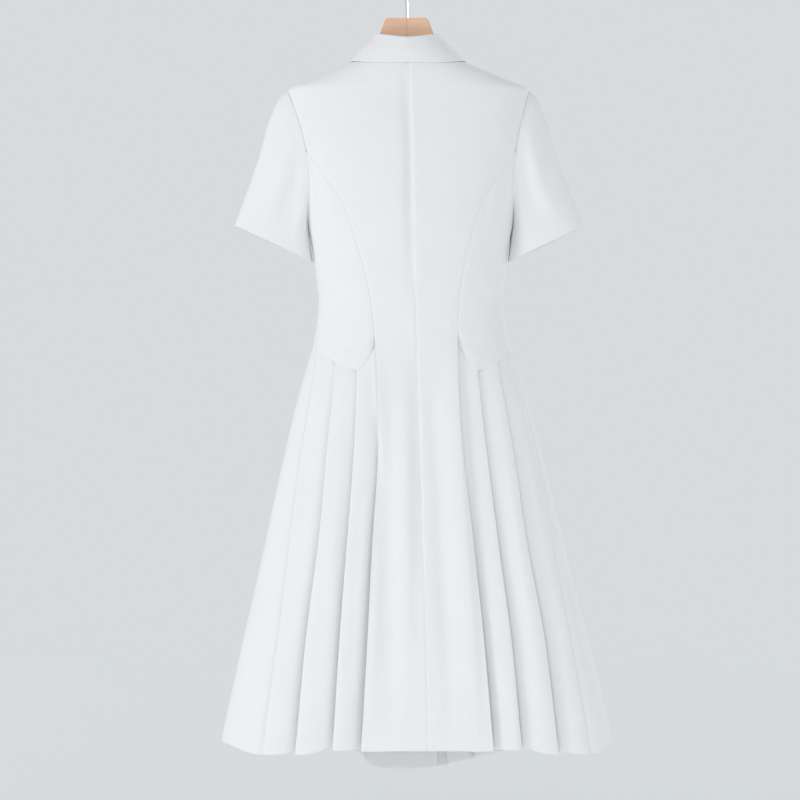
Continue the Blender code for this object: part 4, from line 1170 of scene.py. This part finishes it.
hole_lines, painted_shade_strips = [], bmesh.new()
middle, half = (BUTTONHOLE_FROM + BUTTONHOLE_TO) / 2, (BUTTONHOLE_FROM - BUTTONHOLE_TO) / 2
for row in range(BUTTON_ROWS):
    level = BUTTON_TOP + BUTTON_STEP * row
    line, outs = [], []
    for turn in np.linspace(0, 2 * math.pi, 49):
        across = middle + math.copysign(abs(math.cos(turn)) ** 0.35, math.cos(turn)) * half
        spot, normal = seat(front_cloth, across, level + BUTTONHOLE_HALF * math.sin(turn))
        line.append(spot + normal * STITCH_PROUD)
        outs.append(normal)
    hole_lines.append((line, outs))
    # Each slit is a thin dark grey strip of painted shade, laid just over the cloth.
    edge = [[seat(front_cloth, across, level + drop) for drop in (-SHADE_STRIP_HALF, SHADE_STRIP_HALF)]
            for across in np.linspace(BUTTONHOLE_FROM - 1, BUTTONHOLE_TO + 1, 12)]
    verts = [[painted_shade_strips.verts.new(spot + normal * SHADE_STRIP_PROUD) for spot, normal in pair]
             for pair in edge]
    for first, second in zip(verts, verts[1:]):
        painted_shade_strips.faces.new((first[0], first[1], second[1], second[0]))
stitches("buttonhole_stitches", hole_lines, HOLE_STITCH)
# The strip's dark grey colour is painted shade standing for the opening of the slit.
slit_painted_shade = Graph("buttonhole_painted_shade", (0.33, 0.33, 0.34), 0.95)
painted_shade_strip = mesh_object("buttonhole_painted_shade_strips", painted_shade_strips, slit_painted_shade.material)
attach(painted_shade_strip, "root")


# Hanger
# The flat wooden hanger is cut in two halves, glued together at its middle. The wood is pale
# and straight-grained under satin varnish, and the joint shows as one thin dark line.
JOINT_HALF, JOINT_DEPTH, JOINT_TOP, JOINT_FOOT = 0.19, 6.2, 76.3, 158.5


def pale_wood():
    graph = Graph("pale_wood", (0.84, 0.54, 0.36), 0.42, coat=0.15)
    across, depth, up = graph.axes(graph.add("ShaderNodeTexCoord", output=3))
    drawn = graph.add("ShaderNodeCombineXYZ", (across * 0.06, depth * 0.7, up))
    rings = graph.noise(drawn, 210.0, 3.0)
    pores = graph.noise(graph.add("ShaderNodeCombineXYZ", (across * 0.05, depth, up)), 1500.0)
    graph.colour((rings * 0.75 + pores * 0.35).limited(0.0, 1.0), (0.70, 0.41, 0.255),
                 (0.93, 0.63, 0.44))
    graph.bump(rings * 0.5 + pores * 0.5, 0.0003, 0.35)
    return graph.material


def glue_line():
    """The dark line of glue in the joint between the halves, just inside their faces."""
    skin = bmesh.new()
    bmesh.ops.create_cube(skin, size=2.0)
    middle = Vector((0, 0, -(JOINT_TOP + JOINT_FOOT) / 2))
    reach = Vector((JOINT_HALF, JOINT_DEPTH, (JOINT_FOOT - JOINT_TOP) / 2))
    for vert in skin.verts:
        vert.co = (middle + reach * vert.co) * MM
    line = mesh_object("hanger_glue_line", skin,
                       Graph("glued_joint", (0.34, 0.19, 0.10), 0.7).material)
    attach(line, "root")


wood = pale_wood()
for _, word in SIDES:
    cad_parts["hanger_" + word].material_slots[0].material = wood
glue_line()


# Hook
# The hook is one bright plated wire, set in the top of the wood and bent round above it.
plated_wire = Graph("plated_wire", (0.66, 0.65, 0.67), 0.2, metallic=1.0)
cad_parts["hook"].material_slots[0].material = plated_wire.material


# Studio
# A pale room with soft light from everywhere, one large lamp from the wearer's left, weaker
# ones from the other sides, and a camera level with the middle of the dress, behind it.
FLOOR_Z, FLOOR_RADIUS, RIM = -2.3, 6.0, 2.0
LAMPS_AIM, CAMERA_AWAY, VIEW_WIDTH = Vector((0, 0, -0.65)), 4.5, 1.248


def floor():
    """A plain round floor that curves up a little all round its edge."""
    skin = bmesh.new()
    profile = [(0.0, FLOOR_Z)] + [
        (FLOOR_RADIUS + RIM * math.sin(turn), FLOOR_Z + RIM * (1 - math.cos(turn)))
        for turn in np.linspace(0, math.pi / 4, 9)]
    rail = [skin.verts.new((radius, 0, height)) for radius, height in profile]
    edges = [skin.edges.new(pair) for pair in zip(rail, rail[1:])]
    bmesh.ops.spin(skin, geom=rail + edges, cent=(0, 0, 0), axis=(0, 0, 1),
                   angle=2 * math.pi, steps=72, use_merge=True)
    mesh_object("floor", skin, Graph("floor", (0.93, 0.94, 0.935), 0.9).material)


def lamp(name, place, power, size, colour):
    light = bpy.data.lights.new(name, "AREA")
    light.energy, light.size, light.color = power, size, colour
    stand = placed(name, light)
    stand.location = place
    stand.rotation_euler = (LAMPS_AIM - stand.location).to_track_quat("-Z", "Y").to_euler()


floor()
lamp("key", (3.6, 1.8, 0.4), 48, 0.9, (1.0, 0.965, 0.925))
lamp("fill", (-3.2, 2.6, -0.9), 17, 1.5, (1.0, 0.97, 0.96))
lamp("low_fill", (0.4, 3.0, -2.1), 19, 1.0, (1.0, 0.96, 0.93))
lamp("front", (-2.6, -3.0, 0.7), 36, 1.2, (1.0, 0.97, 0.94))

world = bpy.data.worlds.new("room")
world.use_nodes = True
room = world.node_tree.nodes["Background"]
room.inputs["Color"].default_value = (0.935, 0.972, 1.0, 1.0)
room.inputs["Strength"].default_value = 0.73
bpy.context.scene.world = world
bpy.context.scene.view_settings.view_transform = "Standard"

camera = bpy.data.cameras.new("camera")
camera.sensor_fit, camera.sensor_width = "HORIZONTAL", 36.0
camera.lens = camera.sensor_width * CAMERA_AWAY / VIEW_WIDTH
stand = placed("camera", camera)
stand.location = (0.01053, CAMERA_AWAY, -0.6715)
stand.rotation_euler = (math.radians(90), 0, math.radians(180))
bpy.context.scene.camera = stand
